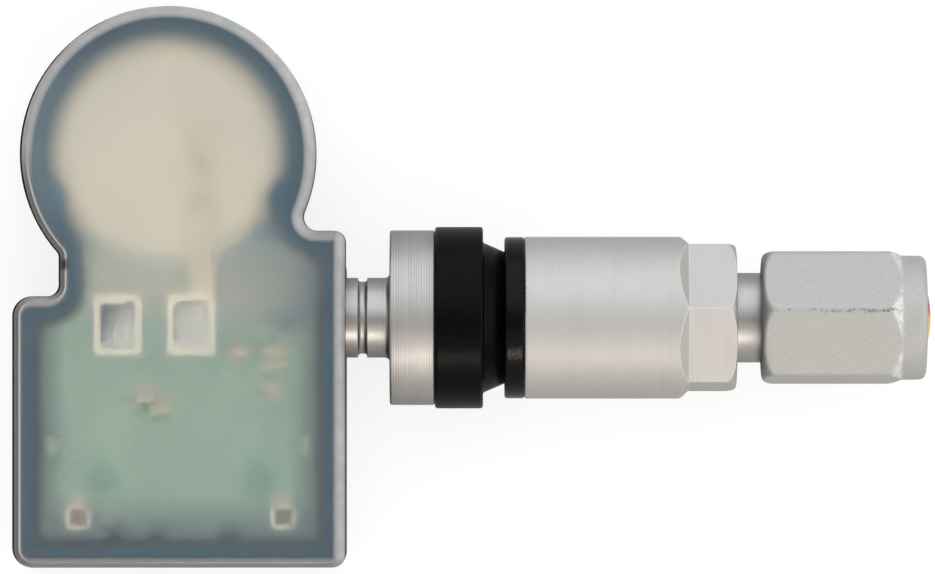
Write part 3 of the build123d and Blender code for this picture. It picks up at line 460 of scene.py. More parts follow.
def tumbled_aluminium():
    # Aluminium cap, blasted and tumbled: a grainy matt skin, pale on its corners, partly rubbed wear and
    # partly painted highlight, with dark pits that thicken along the front corner towards the closed end
    material, tree, place = new_finish("tumbled_aluminium")
    grains, skin = mottle(tree, place, 0.13, 5.0, "B6B7B3", "CCCDC9")
    corner, rounded = corner_wear(tree, 0.4)
    # Corners paler: partly rubbed wear, partly painted highlight
    edge = put(tree, "MapRange", {"Value": corner, "From Min": 0.3, "From Max": 1.2})
    worn_and_highlit = put(tree, "Mix", {"Factor": edge, "A": skin, "B": linear("E6E7E4")}, data_type="RGBA")
    spot = put(tree, "SeparateXYZ", {"Vector": place}).outputs
    aside = put(tree, "Math", {0: spot["Y"], 1: CAP_CORNER_Y * MM}, operation="SUBTRACT")
    away = put(tree, "Math", {0: aside}, operation="ABSOLUTE")
    front = put(tree, "MapRange", over(away, CAP_FRONT) | {"To Min": 0.12, "To Max": -0.3})
    along = over(spot["X"], CAP_HEXAGON)
    thicker = put(tree, "MapRange", along | {"To Min": -0.08, "To Max": 0.06})
    pits = put(tree, "TexNoise", {"Vector": place, "Scale": per_mm(0.34), "Detail": 6.0})
    deeper = put(tree, "Math", {0: pits, 1: front}, operation="ADD")
    pitted = put(tree, "Math", {0: deeper, 1: thicker}, operation="ADD")
    dark = put(tree, "MapRange", {"Value": pitted, "From Min": 0.58, "From Max": 0.84})
    ended = put(tree, "Math", {0: spot["X"], 1: CAP_HEXAGON[1] * MM}, operation="LESS_THAN")
    worn = put(tree, "Math", {0: dark, 1: ended}, operation="MULTIPLY")
    # Painted shade on its rounded open end, which faces left, and a painted highlight in patches on the
    # bevel at the hexagon's closed end, which faces the lamp at the right
    facing = put(tree, "SeparateXYZ", {"Vector": put(tree, "TexCoord").outputs["Normal"]}).outputs["X"]
    sloped = put(tree, "MapRange", {"Value": facing, "From Min": 0.15, "From Max": 0.5})
    before = put(tree, "MapRange", over(spot["X"], CAP_SHOULDER) | {"To Min": 1, "To Max": 0})
    bevel = put(tree, "Math", {0: sloped, 1: before}, operation="MULTIPLY")
    patch_noise = put(tree, "TexNoise", {"Vector": place, "Scale": per_mm(0.7), "Detail": 3.0})
    patchy_highlight = {"Value": patch_noise, "From Min": 0.35, "From Max": 0.6, "To Min": 0.15, "To Max": 0.75}
    patches = put(tree, "MapRange", patchy_highlight)
    bevel_highlight = put(tree, "Math", {0: bevel, 1: patches}, operation="MULTIPLY")
    # Painted shade on the surfaces facing left
    open_end = put(tree, "MapRange", {"Value": facing, "From Min": -0.1, "From Max": -1.0})
    with_end_shade = put(tree, "Mix", {"Factor": open_end, "A": worn_and_highlit, "B": linear("969794")}, data_type="RGBA")
    bright = put(tree, "Mix", {"Factor": bevel_highlight, "A": with_end_shade, "B": linear("F0F1EF")}, data_type="RGBA")
    colour = put(tree, "Mix", {"Factor": worn, "A": bright, "B": linear("6C6D6B")}, data_type="RGBA")
    matt = put(tree, "MapRange", {"Value": grains, "To Min": 0.62, "To Max": 0.78})
    blasted = put(tree, "Bump", {"Height": grains, "Distance": 0.008 * MM, "Normal": rounded})
    raised = put(tree, "Bump", {"Height": pits, "Distance": 0.01 * MM, "Normal": blasted})
    sockets = {"Base Color": colour, "Roughness": matt, "Normal": raised, "Metallic": 1.0}
    shader = put(tree, "BsdfPrincipled", sockets)
    put(tree, "OutputMaterial", {"Surface": shader})
    return material


def plated_steel(name, dark, pale, rough):
    # Steel, rolled or drawn, bare or plated: soft clouds of tone and a fine rolled grain
    material, tree, place = new_finish(name)
    metal = mottle(tree, place, 2.2, 4.0, dark, pale)[1]
    drawn = put(tree, "Mapping", {"Vector": place, "Scale": (1, 0.1, 1)})
    rolled = put(tree, "TexNoise", {"Vector": drawn, "Scale": per_mm(0.3), "Detail": 2.0})
    varies = 0.08
    matt = put(tree, "MapRange", {"Value": rolled, "To Min": rough - varies, "To Max": rough + varies})
    raised = put(tree, "Bump", {"Height": rolled, "Distance": 0.004 * MM})
    sockets = {"Base Color": metal, "Roughness": matt, "Normal": raised, "Metallic": 1.0}
    shader = put(tree, "BsdfPrincipled", sockets)
    put(tree, "OutputMaterial", {"Surface": shader})
    return material


def nickel_tab():
    # Nickel strip, rolled bright: two heat-tinted spots where it was welded to the cell, and its window
    # frames tinned paler
    material, tree, place = new_finish("rolled_nickel_strip")
    clouds, strip = mottle(tree, place, 1.2, 3.0, "D4CEC2", "DED8CD")
    welds = spots(tree, place, WELDS, 0.1, 0.8, squeeze=(0.55, 1, 0))
    welded = put(tree, "Mix", {"Factor": welds, "A": strip, "B": linear("BCC0B6")}, data_type="RGBA")
    frames = spots(tree, place, CLEAR_FRAMES, 2.6, 3.6)
    metal = put(tree, "Mix", {"Factor": frames, "A": welded, "B": linear("F4EFE2")}, data_type="RGBA")
    raised = put(tree, "Bump", {"Height": clouds, "Distance": 0.006 * MM})
    sockets = {"Base Color": metal, "Normal": raised, "Metallic": 1.0, "Roughness": 0.6}
    shader = put(tree, "BsdfPrincipled", sockets)
    put(tree, "OutputMaterial", {"Surface": shader})
    return material


def tinned_pad():
    # Solder pads, tinned: pale beside the antenna's legs, and lost in the green towards their edges
    material, tree, place = new_finish("tinned_pad")
    clouds, tin = mottle(tree, place, 1.2, 3.0, "ECE5D6", "F4EEE0")
    beside = spots(tree, place, CLEAR_LEGS, 0.85, 1.4)
    metal = put(tree, "Mix", {"Factor": beside, "A": linear("8FA499"), "B": tin}, data_type="RGBA")
    raised = put(tree, "Bump", {"Height": clouds, "Distance": 0.006 * MM})
    sockets = {"Base Color": metal, "Normal": raised, "Metallic": 0.8, "Roughness": 0.5}
    shader = put(tree, "BsdfPrincipled", sockets)
    put(tree, "OutputMaterial", {"Surface": shader})
    return material


def tinned_bar():
    # Copper bar, tinned and cropped: a bare reddish end on the left leg and a dull one on the right
    material, tree, place = new_finish("tinned_copper_bar")
    clouds, bare = mottle(tree, place, 0.8, 3.0, "93827A", "A8968C")
    dull = mottle(tree, place, 0.8, 3.0, "7C7D70", "8E8E80")[1]
    across = put(tree, "SeparateXYZ", {"Vector": place}).outputs["X"]
    right = put(tree, "MapRange", over(across, LEGS_X))
    metal = put(tree, "Mix", {"Factor": right, "A": bare, "B": dull}, data_type="RGBA")
    raised = put(tree, "Bump", {"Height": clouds, "Distance": 0.006 * MM})
    sockets = {"Base Color": metal, "Normal": raised, "Metallic": 0.6, "Roughness": 0.45}
    shader = put(tree, "BsdfPrincipled", sockets)
    put(tree, "OutputMaterial", {"Surface": shader})
    return material


def masked_board():
    # Glass-epoxy laminate under green solder mask, bare and pale near the cell, with darker discs of
    # copper, pale flux round the chips and legs, and painted shade towards its edges and round the notches
    # in its lower edge, beside the deep gaps
    material, tree, place = new_finish("solder_masked_laminate")
    low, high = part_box("circuit_board")
    spot = put(tree, "SeparateXYZ", {"Vector": place}).outputs
    green = mottle(tree, place, 5.0, 2.0, "89A79D", "99B3A9")[1]
    discs = spots(tree, place, DISCS, 0.6, 2.2)
    copper = put(tree, "Mix", {"Factor": discs, "A": green, "B": linear("749D92")}, data_type="RGBA")
    flux = spots(tree, place, CHIP_FLUX + LEG_FLUX, 0.3, 1.5)
    fluxed = put(tree, "Mix", {"Factor": flux, "A": copper, "B": linear("CDC7B9")}, data_type="RGBA")
    # The bare laminate is paler at the left, painted light from the bright cell beside it, and greyer at
    # the right
    weave, left = mottle(tree, place, 0.5, 3.0, "A9B0AC", "B7BCB6")
    right = mottle(tree, place, 0.5, 3.0, "7E898C", "8C9697")[1]
    greyer = put(tree, "MapRange", over(spot["X"], GREYER_X))
    bare = put(tree, "Mix", {"Factor": greyer, "A": left, "B": right}, data_type="RGBA")
    fallen = put(tree, "Math", {0: spot["X"], 1: MASK_FALL, 2: spot["Y"]}, operation="MULTIPLY_ADD")
    border = (MASK_EDGE[0] * MASK_FALL + MASK_EDGE[1]) * MM
    soft = MASK_SOFT * MM
    up = put(tree, "MapRange", {"Value": fallen, "From Min": border - soft, "From Max": border + soft})
    laid = put(tree, "Mix", {"Factor": up, "A": fluxed, "B": bare}, data_type="RGBA")
    patch = spots(tree, place, DARK_PATCH, 0.2, 2.2, (0.7, 1.3, 0))
    sheet = put(tree, "Mix", {"Factor": patch, "A": laid, "B": linear("6A808A")}, data_type="RGBA")
    # Painted shade towards the board's sides and foot, beside the deep gaps
    painted_edge_shade = [("X", low[0], SIDE_SHADE), ("X", high[0], -SIDE_SHADE), ("Y", low[1], FOOT_SHADE)]
    for axis, edge, reach in painted_edge_shade:
        shade = {"Value": spot[axis], "From Min": edge, "From Max": edge + reach * MM}
        lit = put(tree, "MapRange", shade, interpolation_type="SMOOTHSTEP")
        sheet = put(tree, "Mix", {"Factor": lit, "A": linear("64797E"), "B": sheet}, data_type="RGBA")
    # Painted shade round the notches in the board's lower edge
    scallop_shade = spots(tree, place, SCALLOPS, 0.2, 2.0)
    colour = put(tree, "Mix", {"Factor": scallop_shade, "A": sheet, "B": linear("52666E")}, data_type="RGBA")
    raised = put(tree, "Bump", {"Height": weave, "Distance": 0.01 * MM})
    sockets = {"Base Color": colour, "Normal": raised, "Roughness": 0.45}
    shader = put(tree, "BsdfPrincipled", sockets)
    put(tree, "OutputMaterial", {"Surface": shader})
    return material


def window_solder():
    # Tin solder, reflowed: silvery, with painted shade in dull blue-grey at the upper left and along its
    # sides, and painted highlights on its lumps and corners
    material, tree, place = new_finish("pooled_solder")
    solder_light_shade = put(tree, "Attribute", attribute_name="solder_light_shade").outputs["Fac"]
    clouds, tin = mottle(tree, place, 0.8, 3.0, "D4D4CE", "E6E4DD")
    bright = put(tree, "MapRange", {"Value": solder_light_shade, "From Min": 0.05, "From Max": 0.75})
    colour = put(tree, "Mix", {"Factor": bright, "A": linear("5E6D78"), "B": tin}, data_type="RGBA")
    raised = put(tree, "Bump", {"Height": clouds, "Distance": 0.01 * MM})
    sockets = {"Base Color": colour, "Normal": raised, "Metallic": 0.4, "Roughness": 0.42}
    shader = put(tree, "BsdfPrincipled", sockets)
    put(tree, "OutputMaterial", {"Surface": shader})
    return material


def machined_brass():
    # Free-cutting brass, turned: warm yellow with fine feed rings
    material, tree, place = new_finish("turned_brass")
    drawn = put(tree, "Mapping", {"Vector": place, "Scale": (1, 0.02, 0.02)})
    rings, metal = mottle(tree, drawn, 0.12, 2.0, "B08D4A", "D2B06A")
    matt = put(tree, "MapRange", {"Value": rings, "To Min": 0.25, "To Max": 0.4})
    raised = put(tree, "Bump", {"Height": rings, "Distance": 0.004 * MM})
    sockets = {"Base Color": metal, "Roughness": matt, "Normal": raised, "Metallic": 1.0}
    shader = put(tree, "BsdfPrincipled", sockets)
    put(tree, "OutputMaterial", {"Surface": shader})
    return material


def fired_ceramic(name, dark, pale):
    # Fired ceramic or moulded epoxy chips: matt, with a slight mottle
    material, tree, place = new_finish(name)
    grains, colour = mottle(tree, place, 0.3, 4.0, dark, pale)
    raised = put(tree, "Bump", {"Height": grains, "Distance": 0.006 * MM})
    shader = put(tree, "BsdfPrincipled", {"Base Color": colour, "Normal": raised, "Roughness": 0.5})
    put(tree, "OutputMaterial", {"Surface": shader})
    return material


def domed_resin():
    # Clear doming resin over a plain two-colour print: amber below, red above, meeting in a soft edge
    material, tree, place = new_finish("domed_resin")
    height = put(tree, "SeparateXYZ", {"Vector": place}).outputs["Y"]
    wander = put(tree, "TexNoise", {"Vector": place, "Scale": per_mm(2.0), "Detail": 2.0})
    aside = {"Value": wander, "To Min": -DOME_WAVER * MM, "To Max": DOME_WAVER * MM}
    waver = put(tree, "MapRange", aside)
    bent = put(tree, "Math", {0: waver, 1: height}, operation="ADD")
    upper = put(tree, "MapRange", over(bent, DOME_REDDER))
    print_colours = {"Factor": upper, "A": linear("E3A52C"), "B": linear("B3262B")}
    colour = put(tree, "Mix", print_colours, data_type="RGBA")
    sockets = {"Base Color": colour, "IOR": 1.5, "Roughness": 0.3, "Specular IOR Level": 0.12}
    shader = put(tree, "BsdfPrincipled", sockets)
    put(tree, "OutputMaterial", {"Surface": shader})
    return material


def wound_wire():
    # Enamelled copper wire, wound close: fine turns across the coil
    material, tree, place = new_finish("enamelled_copper_wire")
    drawn = put(tree, "Mapping", {"Vector": place, "Scale": (1, 0.02, 0.02)})
    turns, metal = mottle(tree, drawn, 0.12, 1.0, "8A4B22", "B9713C")
    raised = put(tree, "Bump", {"Height": turns, "Distance": 0.02 * MM})
    sockets = {"Base Color": metal, "Normal": raised, "Metallic": 0.8, "Roughness": 0.35}
    shader = put(tree, "BsdfPrincipled", sockets)
    put(tree, "OutputMaterial", {"Surface": shader})
    return material


def white_paper():
    # White paper: what the camera and shiny surfaces see is nearly white by itself, with a soft shadow
    material, tree, place = new_finish("white_paper")
    path = put(tree, "LightPath").outputs
    mirrors = {0: path["Is Glossy Ray"], 1: path["Is Transmission Ray"]}
    shiny = put(tree, "Math", mirrors, operation="MAXIMUM")
    paper = mottle(tree, place, 30.0, 2.0, "F6F6F5", "F9F9F8")[1]
    mirrored = put(tree, "Mix", {"Factor": shiny, "A": paper, "B": linear("BEBEBE")}, data_type="RGBA")
    seen = {"Factor": path["Is Camera Ray"], "A": mirrored, "B": linear("8A8A8A")}
    colour = put(tree, "Mix", seen, data_type="RGBA")
    in_metal = put(tree, "Math", {0: shiny, 1: PAPER_GLEAM}, operation="MULTIPLY")
    to_camera = {0: path["Is Camera Ray"], 1: PAPER_GLOW, 2: in_metal}
    glow = put(tree, "Math", to_camera, operation="MULTIPLY_ADD")
    sockets = {"Base Color": colour, "Roughness": 0.9}
    glowing = {"Emission Color": (1, 1, 1, 1), "Emission Strength": glow}
    shader = put(tree, "BsdfPrincipled", sockets | glowing)
    put(tree, "OutputMaterial", {"Surface": shader})
    return material


def add_piece(name, mesh, material, body, slot, *stands_for):
    """Puts a finished mesh in the scene as a piece that rides on a body and stands for CAD nodes."""
    piece = bpy.data.objects.new(name, mesh)
    bpy.context.scene.collection.objects.link(piece)
    mesh.materials.append(material)
    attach(piece, body)
    if stands_for:
        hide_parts(*stands_for)
    return piece


def sensor_outline():
    """Outline of the sensor from above, in metres: points, their outward directions, how far each can
    move inwards before its corner closes, and the way the closed corner then moves."""
    tub_low, tub_high = (Vector(c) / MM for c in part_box("housing"))
    cell_low, cell_high = (Vector(c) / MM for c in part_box("coin_cell"))
    lobe = Vector(((cell_low.x + cell_high.x) / 2, (cell_low.y + cell_high.y) / 2))
    reach = tub_high.y - lobe.y
    notch = tub_low.x + LEFT_NOTCH
    right_y = RIGHT_SHOULDER + LOBE_RIGHT_RADIUS
    right_x = lobe.x + math.sqrt((reach + LOBE_RIGHT_RADIUS) ** 2 - (lobe.y - right_y) ** 2)
    left_x = notch - LOBE_LEFT_RADIUS
    left_y = lobe.y - math.sqrt((reach + LOBE_LEFT_RADIUS) ** 2 - (lobe.x - left_x) ** 2)
    right_turn = math.degrees(math.atan2(right_y - lobe.y, right_x - lobe.x))
    left_turn = math.degrees(math.atan2(left_y - lobe.y, left_x - lobe.x)) + 360
    shoulder = (tub_high.x - CORNER_RIGHT_SHOULDER, RIGHT_SHOULDER - CORNER_RIGHT_SHOULDER)
    left_shoulder = (tub_low.x + CORNER_LEFT_SHOULDER, LEFT_SHOULDER - CORNER_LEFT_SHOULDER)
    # Each arc: centre, radius, first and last angle; the hollow ones run the other way round
    arcs = [
        ((tub_low.x + CORNER_LOW_LEFT, tub_low.y + CORNER_LOW_LEFT), CORNER_LOW_LEFT, 180, 270),
        ((tub_high.x - CORNER_LOW_RIGHT, tub_low.y + CORNER_LOW_RIGHT), CORNER_LOW_RIGHT, 270, 360),
        (shoulder, CORNER_RIGHT_SHOULDER, 0, 90),
        ((right_x, right_y), LOBE_RIGHT_RADIUS, 270, right_turn + 180),
        ((lobe.x, lobe.y), reach, right_turn, left_turn),
        ((left_x, left_y), LOBE_LEFT_RADIUS, left_turn - 180, 0),
        ((notch - NOTCH_RADIUS, LEFT_SHOULDER + NOTCH_RADIUS), NOTCH_RADIUS, 0, -90),
        (left_shoulder, CORNER_LEFT_SHOULDER, 90, 180),
    ]
    no_limit = 1.0
    outline = []
    for centre, radius, first, last in arcs:
        steps = max(FEWEST_ARC_STEPS, round(abs(last - first) / DEGREES_PER_STEP))
        angles = [math.radians(first + (last - first) * step / steps) for step in range(steps + 1)]
        rays = [Vector((math.cos(angle), math.sin(angle))) for angle in angles]
        hollow = last < first
        for ray in rays:
            point = (Vector(centre) + ray * radius) * MM
            outward = -ray if hollow else ray
            room = no_limit if hollow else radius * MM
            outline.append((point, outward, room, rays[0] + rays[-1]))
    return outline


def skin_over(shape, rings, smooth=True):
    """Faces from each ring of vertices to the next."""
    for first, second in zip(rings, rings[1:]):
        for i, vertex in enumerate(first):
            after = (i + 1) % len(first)
            shape.faces.new((vertex, first[after], second[after], second[i])).smooth = smooth


def end_mesh(shape, name):
    """The finished mesh of a shape, with its faces turned outwards."""
    bmesh.ops.recalc_face_normals(shape, faces=shape.faces)
    mesh = bpy.data.meshes.new(name)
    shape.to_mesh(mesh)
    shape.free()
    return mesh


def inside(place, deep):
    """The spot at a depth inside a place on the outline."""
    point, outward, room, mitre = place
    return point - outward * min(deep, room) - mitre * max(0.0, deep - room)


def resin_block(outline):
    """Cured resin over the tub: a slab with a rounded, slightly wavering upper edge, lapped a little into
    the tub, and shy of the tub at its left side, where the tub shows as a dark line that stands in for the
    shade along that edge."""
    near, far = (Vector(c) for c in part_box("housing"))
    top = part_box("potting_compound")[1][2]
    # The tub left uncovered at the left is a dark line in place of the shade along that edge
    shy = RESIN_SHY * MM / (far.x - near.x)
    low = top - (RESIN_DEPTH + RESIN_LAP) * MM
    edge = FACE_EDGE * MM
    levels = [(0.0, low), (0.0, (low + top) / 2)]
    rounding = 32
    for step in range(rounding + 1):
        angle = math.pi / 2 * step / rounding
        levels.append((edge * (1 - math.cos(angle)), top - edge * (1 - math.sin(angle))))
    for inset in FACE_INSETS:
        levels.append((inset * MM, top))
    shape = bmesh.new()
    rim, rim_lit_side, highlight_line = (shape.verts.layers.float.new(name) for name in RESIN_MARKS)
    rings = []
    for inset, z in levels:
        ring = []
        for place in outline:
            point, outward = place[:2]
            waver = RIM_WAVER * MM * (0.5 + 0.5 * noise.noise((*(point / (RIM_WAVE_LENGTH * MM)), 0)))
            spot = inside(place, inset + waver * max(0.0, 1 - inset / edge))
            vertex = shape.verts.new((spot.x + (far.x - spot.x) * shy, spot.y, z))
            # How far each place on the rim takes painted light, towards the right, rather than painted
            # shade, towards the left and bottom
            side = 0.5 + 0.5 * outward.dot(LIT_SIDE_WAY)
            on_lobe = (point.y / MM - LOBE_LIT_SPAN[0]) / (LOBE_LIT_SPAN[1] - LOBE_LIT_SPAN[0])
            on_lobe = min(1.0, max(0.0, on_lobe))
            side += LOBE_BROADER * on_lobe * (1 - side)
            width = (RIM_NARROW + (RIM_BROAD - RIM_NARROW) * side) * MM
            # The painted highlight line, on the rim's left-facing side only
            line = max(0.0, 1 - abs(inset - HIGHLIGHT_INSET * MM) / (HIGHLIGHT_WIDTH * MM))
            vertex[rim] = min(1.0, max(0.0, (width - inset) / (RIM_FADE * MM)))
            vertex[rim_lit_side] = side
            vertex[highlight_line] = line * max(0.0, -outward.x) * (1 - LOBE_HIGHLIGHT_LOST * on_lobe)
            ring.append(vertex)
        rings.append(ring)
    skin_over(shape, rings)
    shape.faces.new(rings[-1])
    shape.faces.new(list(reversed(rings[0])))
    touching = 0.001 * MM
    bmesh.ops.remove_doubles(shape, verts=shape.verts, dist=touching)
    mesh = end_mesh(shape, "potting")
    mesh.set_sharp_from_angle(angle=SHARP)
    return mesh


def gap_fill(outline):
    """Resin in bulk round the cell, a ring from the cell's crimped shoulder to just inside the tub's wall,
    that ends within the edge of the board. Its opaque top, raised close to the board's level, stands in
    for lit resin where the deep gaps would lie in shadow."""
    low, high = (Vector(c).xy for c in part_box("coin_cell"))
    middle = (low + high) / 2
    radius = GAP_CELL * MM
    wall = [inside(place, GAP_WALL * MM) for place in outline]
    around = 240
    beyond = 50 * MM
    rings = [[], [], [], []]
    shape = bmesh.new()
    for i in range(around):
        ray = Vector((math.cos(2 * math.pi * i / around), math.sin(2 * math.pi * i / around)))
        far = middle + ray * beyond
        sides = zip(wall, wall[1:] + wall[:1])
        crossings = [geometry.intersect_line_line_2d(middle, far, a, b) for a, b in sides]
        reach = min((spot - middle).length for spot in crossings if spot)
        if ray.y < 0:
            reach = min(reach, (GAP_FOOT * MM - middle.y) / ray.y)
        corners = [(radius, 0), (reach, 0), (reach, 1), (radius, 1)]
        for ring, (distance, level) in zip(rings, corners):
            ring.append(shape.verts.new((*(middle + ray * distance), GAP_LEVELS[level] * MM)))
    skin_over(shape, rings + rings[:1], smooth=False)
    return end_mesh(shape, "gap_resin")


def thread_depth(x, angle, start, end, pitch):
    """Depth of a rolled thread at a place on the stem, in millimetres, fading at its ends."""
    if not start < x < end:
        return 0.0
    fade = min(1.0, (x - start) / pitch, (end - x) / pitch)
    turn = (x / pitch - angle / (2 * math.pi)) % 1.0
    flank = min(1.0, max(0.0, THREAD_SLOPE * (1 - abs(2 * turn - 1)) - THREAD_CREST))
    return THREAD_DEPTH * pitch * fade * flank


def stem_section(tip_x, collar_radius):
    """Half section of the turned stem, from its foot to its tip, in millimetres."""
    foot_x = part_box("valve_stem")[0][0] / MM
    groove = NECK_GROOVE_WIDTH / 2
    section = [(foot_x, FOOT_HOLE_RADIUS), (foot_x, NECK_RADIUS)]
    for step in range(GROOVE_STEPS + 1):
        angle = math.pi * step / GROOVE_STEPS
        sunk = NECK_GROOVE_DEPTH * math.sin(angle) ** 0.5
        section.append((NECK_GROOVE_X - groove * math.cos(angle), NECK_RADIUS - sunk))
    corners = [
        ((COLLAR_X - NECK_ROOT, NECK_RADIUS + NECK_ROOT), NECK_ROOT, -90, 0),
        ((COLLAR_X + COLLAR_EDGE, collar_radius - COLLAR_EDGE), COLLAR_EDGE, 180, 90),
        ((-GROMMET_LENGTH - COLLAR_EDGE, collar_radius - COLLAR_EDGE), COLLAR_EDGE, 90, 0),
    ]
    for (x, r), radius, first, last in corners:
        for step in range(CORNER_STEPS + 1):
            angle = math.radians(first + (last - first) * step / CORNER_STEPS)
            section.append((x + radius * math.cos(angle), r + radius * math.sin(angle)))
    section.append((-GROMMET_LENGTH, SHANK_RADIUS))
    rows = round((SHANK_END - SHANK_THREAD_START) / SHANK_PITCH * SHANK_ROWS)
    for row in range(rows + 1):
        section.append((SHANK_THREAD_START + (SHANK_END - SHANK_THREAD_START) * row / rows, SHANK_RADIUS))
    section.append((SHANK_END, TIP_RADIUS))
    rows = round((tip_x - TIP_EDGE - TIP_THREAD_START) / TIP_PITCH * TIP_ROWS)
    for row in range(rows + 1):
        section.append((TIP_THREAD_START + (tip_x - TIP_EDGE - TIP_THREAD_START) * row / rows, TIP_RADIUS))
    bore = [
        (tip_x, TIP_RADIUS - TIP_EDGE),
        (tip_x, BORE_RADIUS),
        (tip_x - BORE_DEPTH, BORE_RADIUS),
        (tip_x - BORE_DEPTH - BORE_TAPER, AIR_CHANNEL_RADIUS),
        (foot_x + FOOT_HOLE_DEPTH, AIR_CHANNEL_RADIUS),
        (foot_x + FOOT_HOLE_DEPTH, FOOT_HOLE_RADIUS),
    ]
    return section + bore


def stem_mesh():
    """The turned stem with its two rolled threads."""
    high = Vector(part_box("valve_stem")[1]) / MM
    section = stem_section(high.x, high.y)
    around = 120
    shape = bmesh.new()
    rings = []
    for x, radius in section:
        ring = []
        for i in range(around):
            angle = 2 * math.pi * i / around
            cut = 0.0
            if radius == SHANK_RADIUS:
                cut = thread_depth(x, angle, SHANK_THREAD_START, SHANK_END, SHANK_PITCH)
            elif radius == TIP_RADIUS:
                cut = thread_depth(x, angle, TIP_THREAD_START, high.x - TIP_EDGE, TIP_PITCH)
            r = (radius - cut) * MM
            ring.append(shape.verts.new((x * MM, r * math.cos(angle), r * math.sin(angle))))
        rings.append(ring)
    skin_over(shape, rings + rings[:1])
    return end_mesh(shape, "stem")


def drill_air_hole(stem):
    """Drills the hole from the neck's underside into the stem's air channel."""
    shape = bmesh.new()
    bmesh.ops.create_cone(
        shape,
        cap_ends=True,
        segments=32,
        radius1=AIR_HOLE_RADIUS * MM,
        radius2=AIR_HOLE_RADIUS * MM,
        depth=NECK_RADIUS * 2 * MM,
    )
    bmesh.ops.translate(shape, verts=shape.verts, vec=(AIR_HOLE_X * MM, 0, -NECK_RADIUS * MM))
    cutter = bpy.data.objects.new("drill", end_mesh(shape, "drill"))
    bpy.context.scene.collection.objects.link(cutter)
    cut = stem.modifiers.new("air_hole", "BOOLEAN")
    cut.object = cutter
    cut.operation = "DIFFERENCE"
    drilled = bpy.data.meshes.new_from_object(stem.evaluated_get(bpy.context.evaluated_depsgraph_get()))
    drilled.set_sharp_from_angle(angle=SHARP)
    stem.modifiers.clear()
    stem.data = drilled
    bpy.data.objects.remove(cutter)


def solder_fill():
    """Solder in the two tab windows: thin in the middle, drawn up the frame's sides and corners."""
    low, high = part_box("tab_solder")
    shape = bmesh.new()
    solder_light_shade = shape.verts.layers.float.new("solder_light_shade")
    width = WINDOW_WIDTH * MM
    across, along = 24, 32
    row = across + 1
    for left, brightness in zip((low[0], high[0] - width), WINDOW_POOL):
        top, base = [], []
        for j in range(along + 1):
            for i in range(across + 1):
                u, v = 2 * i / across - 1, 2 * j / along - 1
                side = max(abs(u), abs(v)) ** SIDE_CURVE
                corner = max(0, min(1, CORNER_SLOPE * (abs(u * v) - CORNER_START)))
                x = left + width * i / across
                y = low[1] + (high[1] - low[1]) * j / along
                lump = LUMP_HEIGHT * noise.noise(Vector((x, y, 0)) / (LUMP_SIZE * MM))
                level = min(1, max(POOL_LOWEST, POOL_LEVEL + lump + SIDE_RISE * side + corner))
                top.append(shape.verts.new((x, y, low[2] + (high[2] - low[2]) * level)))
                # Painted shade and highlight for the solder's material: dark bands along the sides, most
                # at the upper left, the left window darker, and light on lumps and corners
                upper_left = max(math.exp(-(1 + u) / BAND_LEFT), math.exp(-(1 - v) / BAND_TOP))
                lower_right = max(math.exp(-(1 - u) / BAND_RIGHT), math.exp(-(1 + v) / BAND_FOOT))
                shade = (1 - brightness) * (SHADE_ALONG * v - SHADE_ACROSS * u)
                shade += SHADE_BANDS * max(upper_left, SHADE_LOWER * lower_right)
                top[-1][solder_light_shade] = min(1, max(0, brightness - shade + LUMP_SHINE * lump + corner))
                base.append(shape.verts.new((x, y, low[2])))
        for j in range(along):
            for i in range(across):
                k = j * row + i
                shape.faces.new((top[k], top[k + 1], top[k + row + 1], top[k + row])).smooth = True
                shape.faces.new((base[k], base[k + row], base[k + row + 1], base[k + 1]))
        border = list(range(across))
        border += [across + j * row for j in range(along)]
        border += [along * row + across - i for i in range(across)]
        border += [along * row - j * row for j in range(along)]
        for a, b in zip(border, border[1:] + border[:1]):
            shape.faces.new((base[a], base[b], top[b], top[a]))
    return end_mesh(shape, "solder")


def coil_mesh(low, high):
    """The core's spring: a coil of round wire between the barrel's floor and the pin's collar."""
    wire = SPRING_WIRE / 2 * MM
    steps = STEPS_PER_TURN * SPRING_TURNS
    around = 12
    laps = [2 * math.pi * i / around for i in range(around)]
    axis = Vector((1, 0, 0))
    shape = bmesh.new()
    rings = []
    for step in range(steps + 1):
        angle = 2 * math.pi * SPRING_TURNS * step / steps
        ray = Vector((0, math.cos(angle), math.sin(angle)))
        middle = axis * (low.x + wire + (high.x - low.x - 2 * wire) * step / steps) + ray * (high.y - wire)
        ways = [ray * math.cos(lap) + axis * math.sin(lap) for lap in laps]
        rings.append([shape.verts.new(middle + wire * way) for way in ways])
    skin_over(shape, rings)
    shape.faces.new(rings[0])
    shape.faces.new(rings[-1])
    mesh = end_mesh(shape, "spring")
    mesh.set_sharp_from_angle(angle=SHARP)
    return mesh


def tumble(node):
    """Rounds a node's corners as tumbling does, by a fine remesh and smoothing."""
    remesh = node.modifiers.new("tumbled", "REMESH")
    remesh.mode = "VOXEL"
    remesh.voxel_size = CAP_VOXEL * MM
    remesh.use_smooth_shade = True
    soften = node.modifiers.new("softened", "SMOOTH")
    soften.factor = CAP_SOFTENING
    soften.iterations = CAP_ROUNDS


def pale_floor():
    """A pale sheet just under the object."""
    size = 1.5
    drop = 0.03 * MM
    level = cad_box[0][2] - drop
    mesh = bpy.data.meshes.new("floor")
    corners = [(-size, -size, level), (size, -size, level), (size, size, level), (-size, size, level)]
    mesh.from_pydata(corners, [], [(0, 1, 2, 3)])
    mesh.materials.append(white_paper())
    floor = bpy.data.objects.new("floor", mesh)
    bpy.context.scene.collection.objects.link(floor)


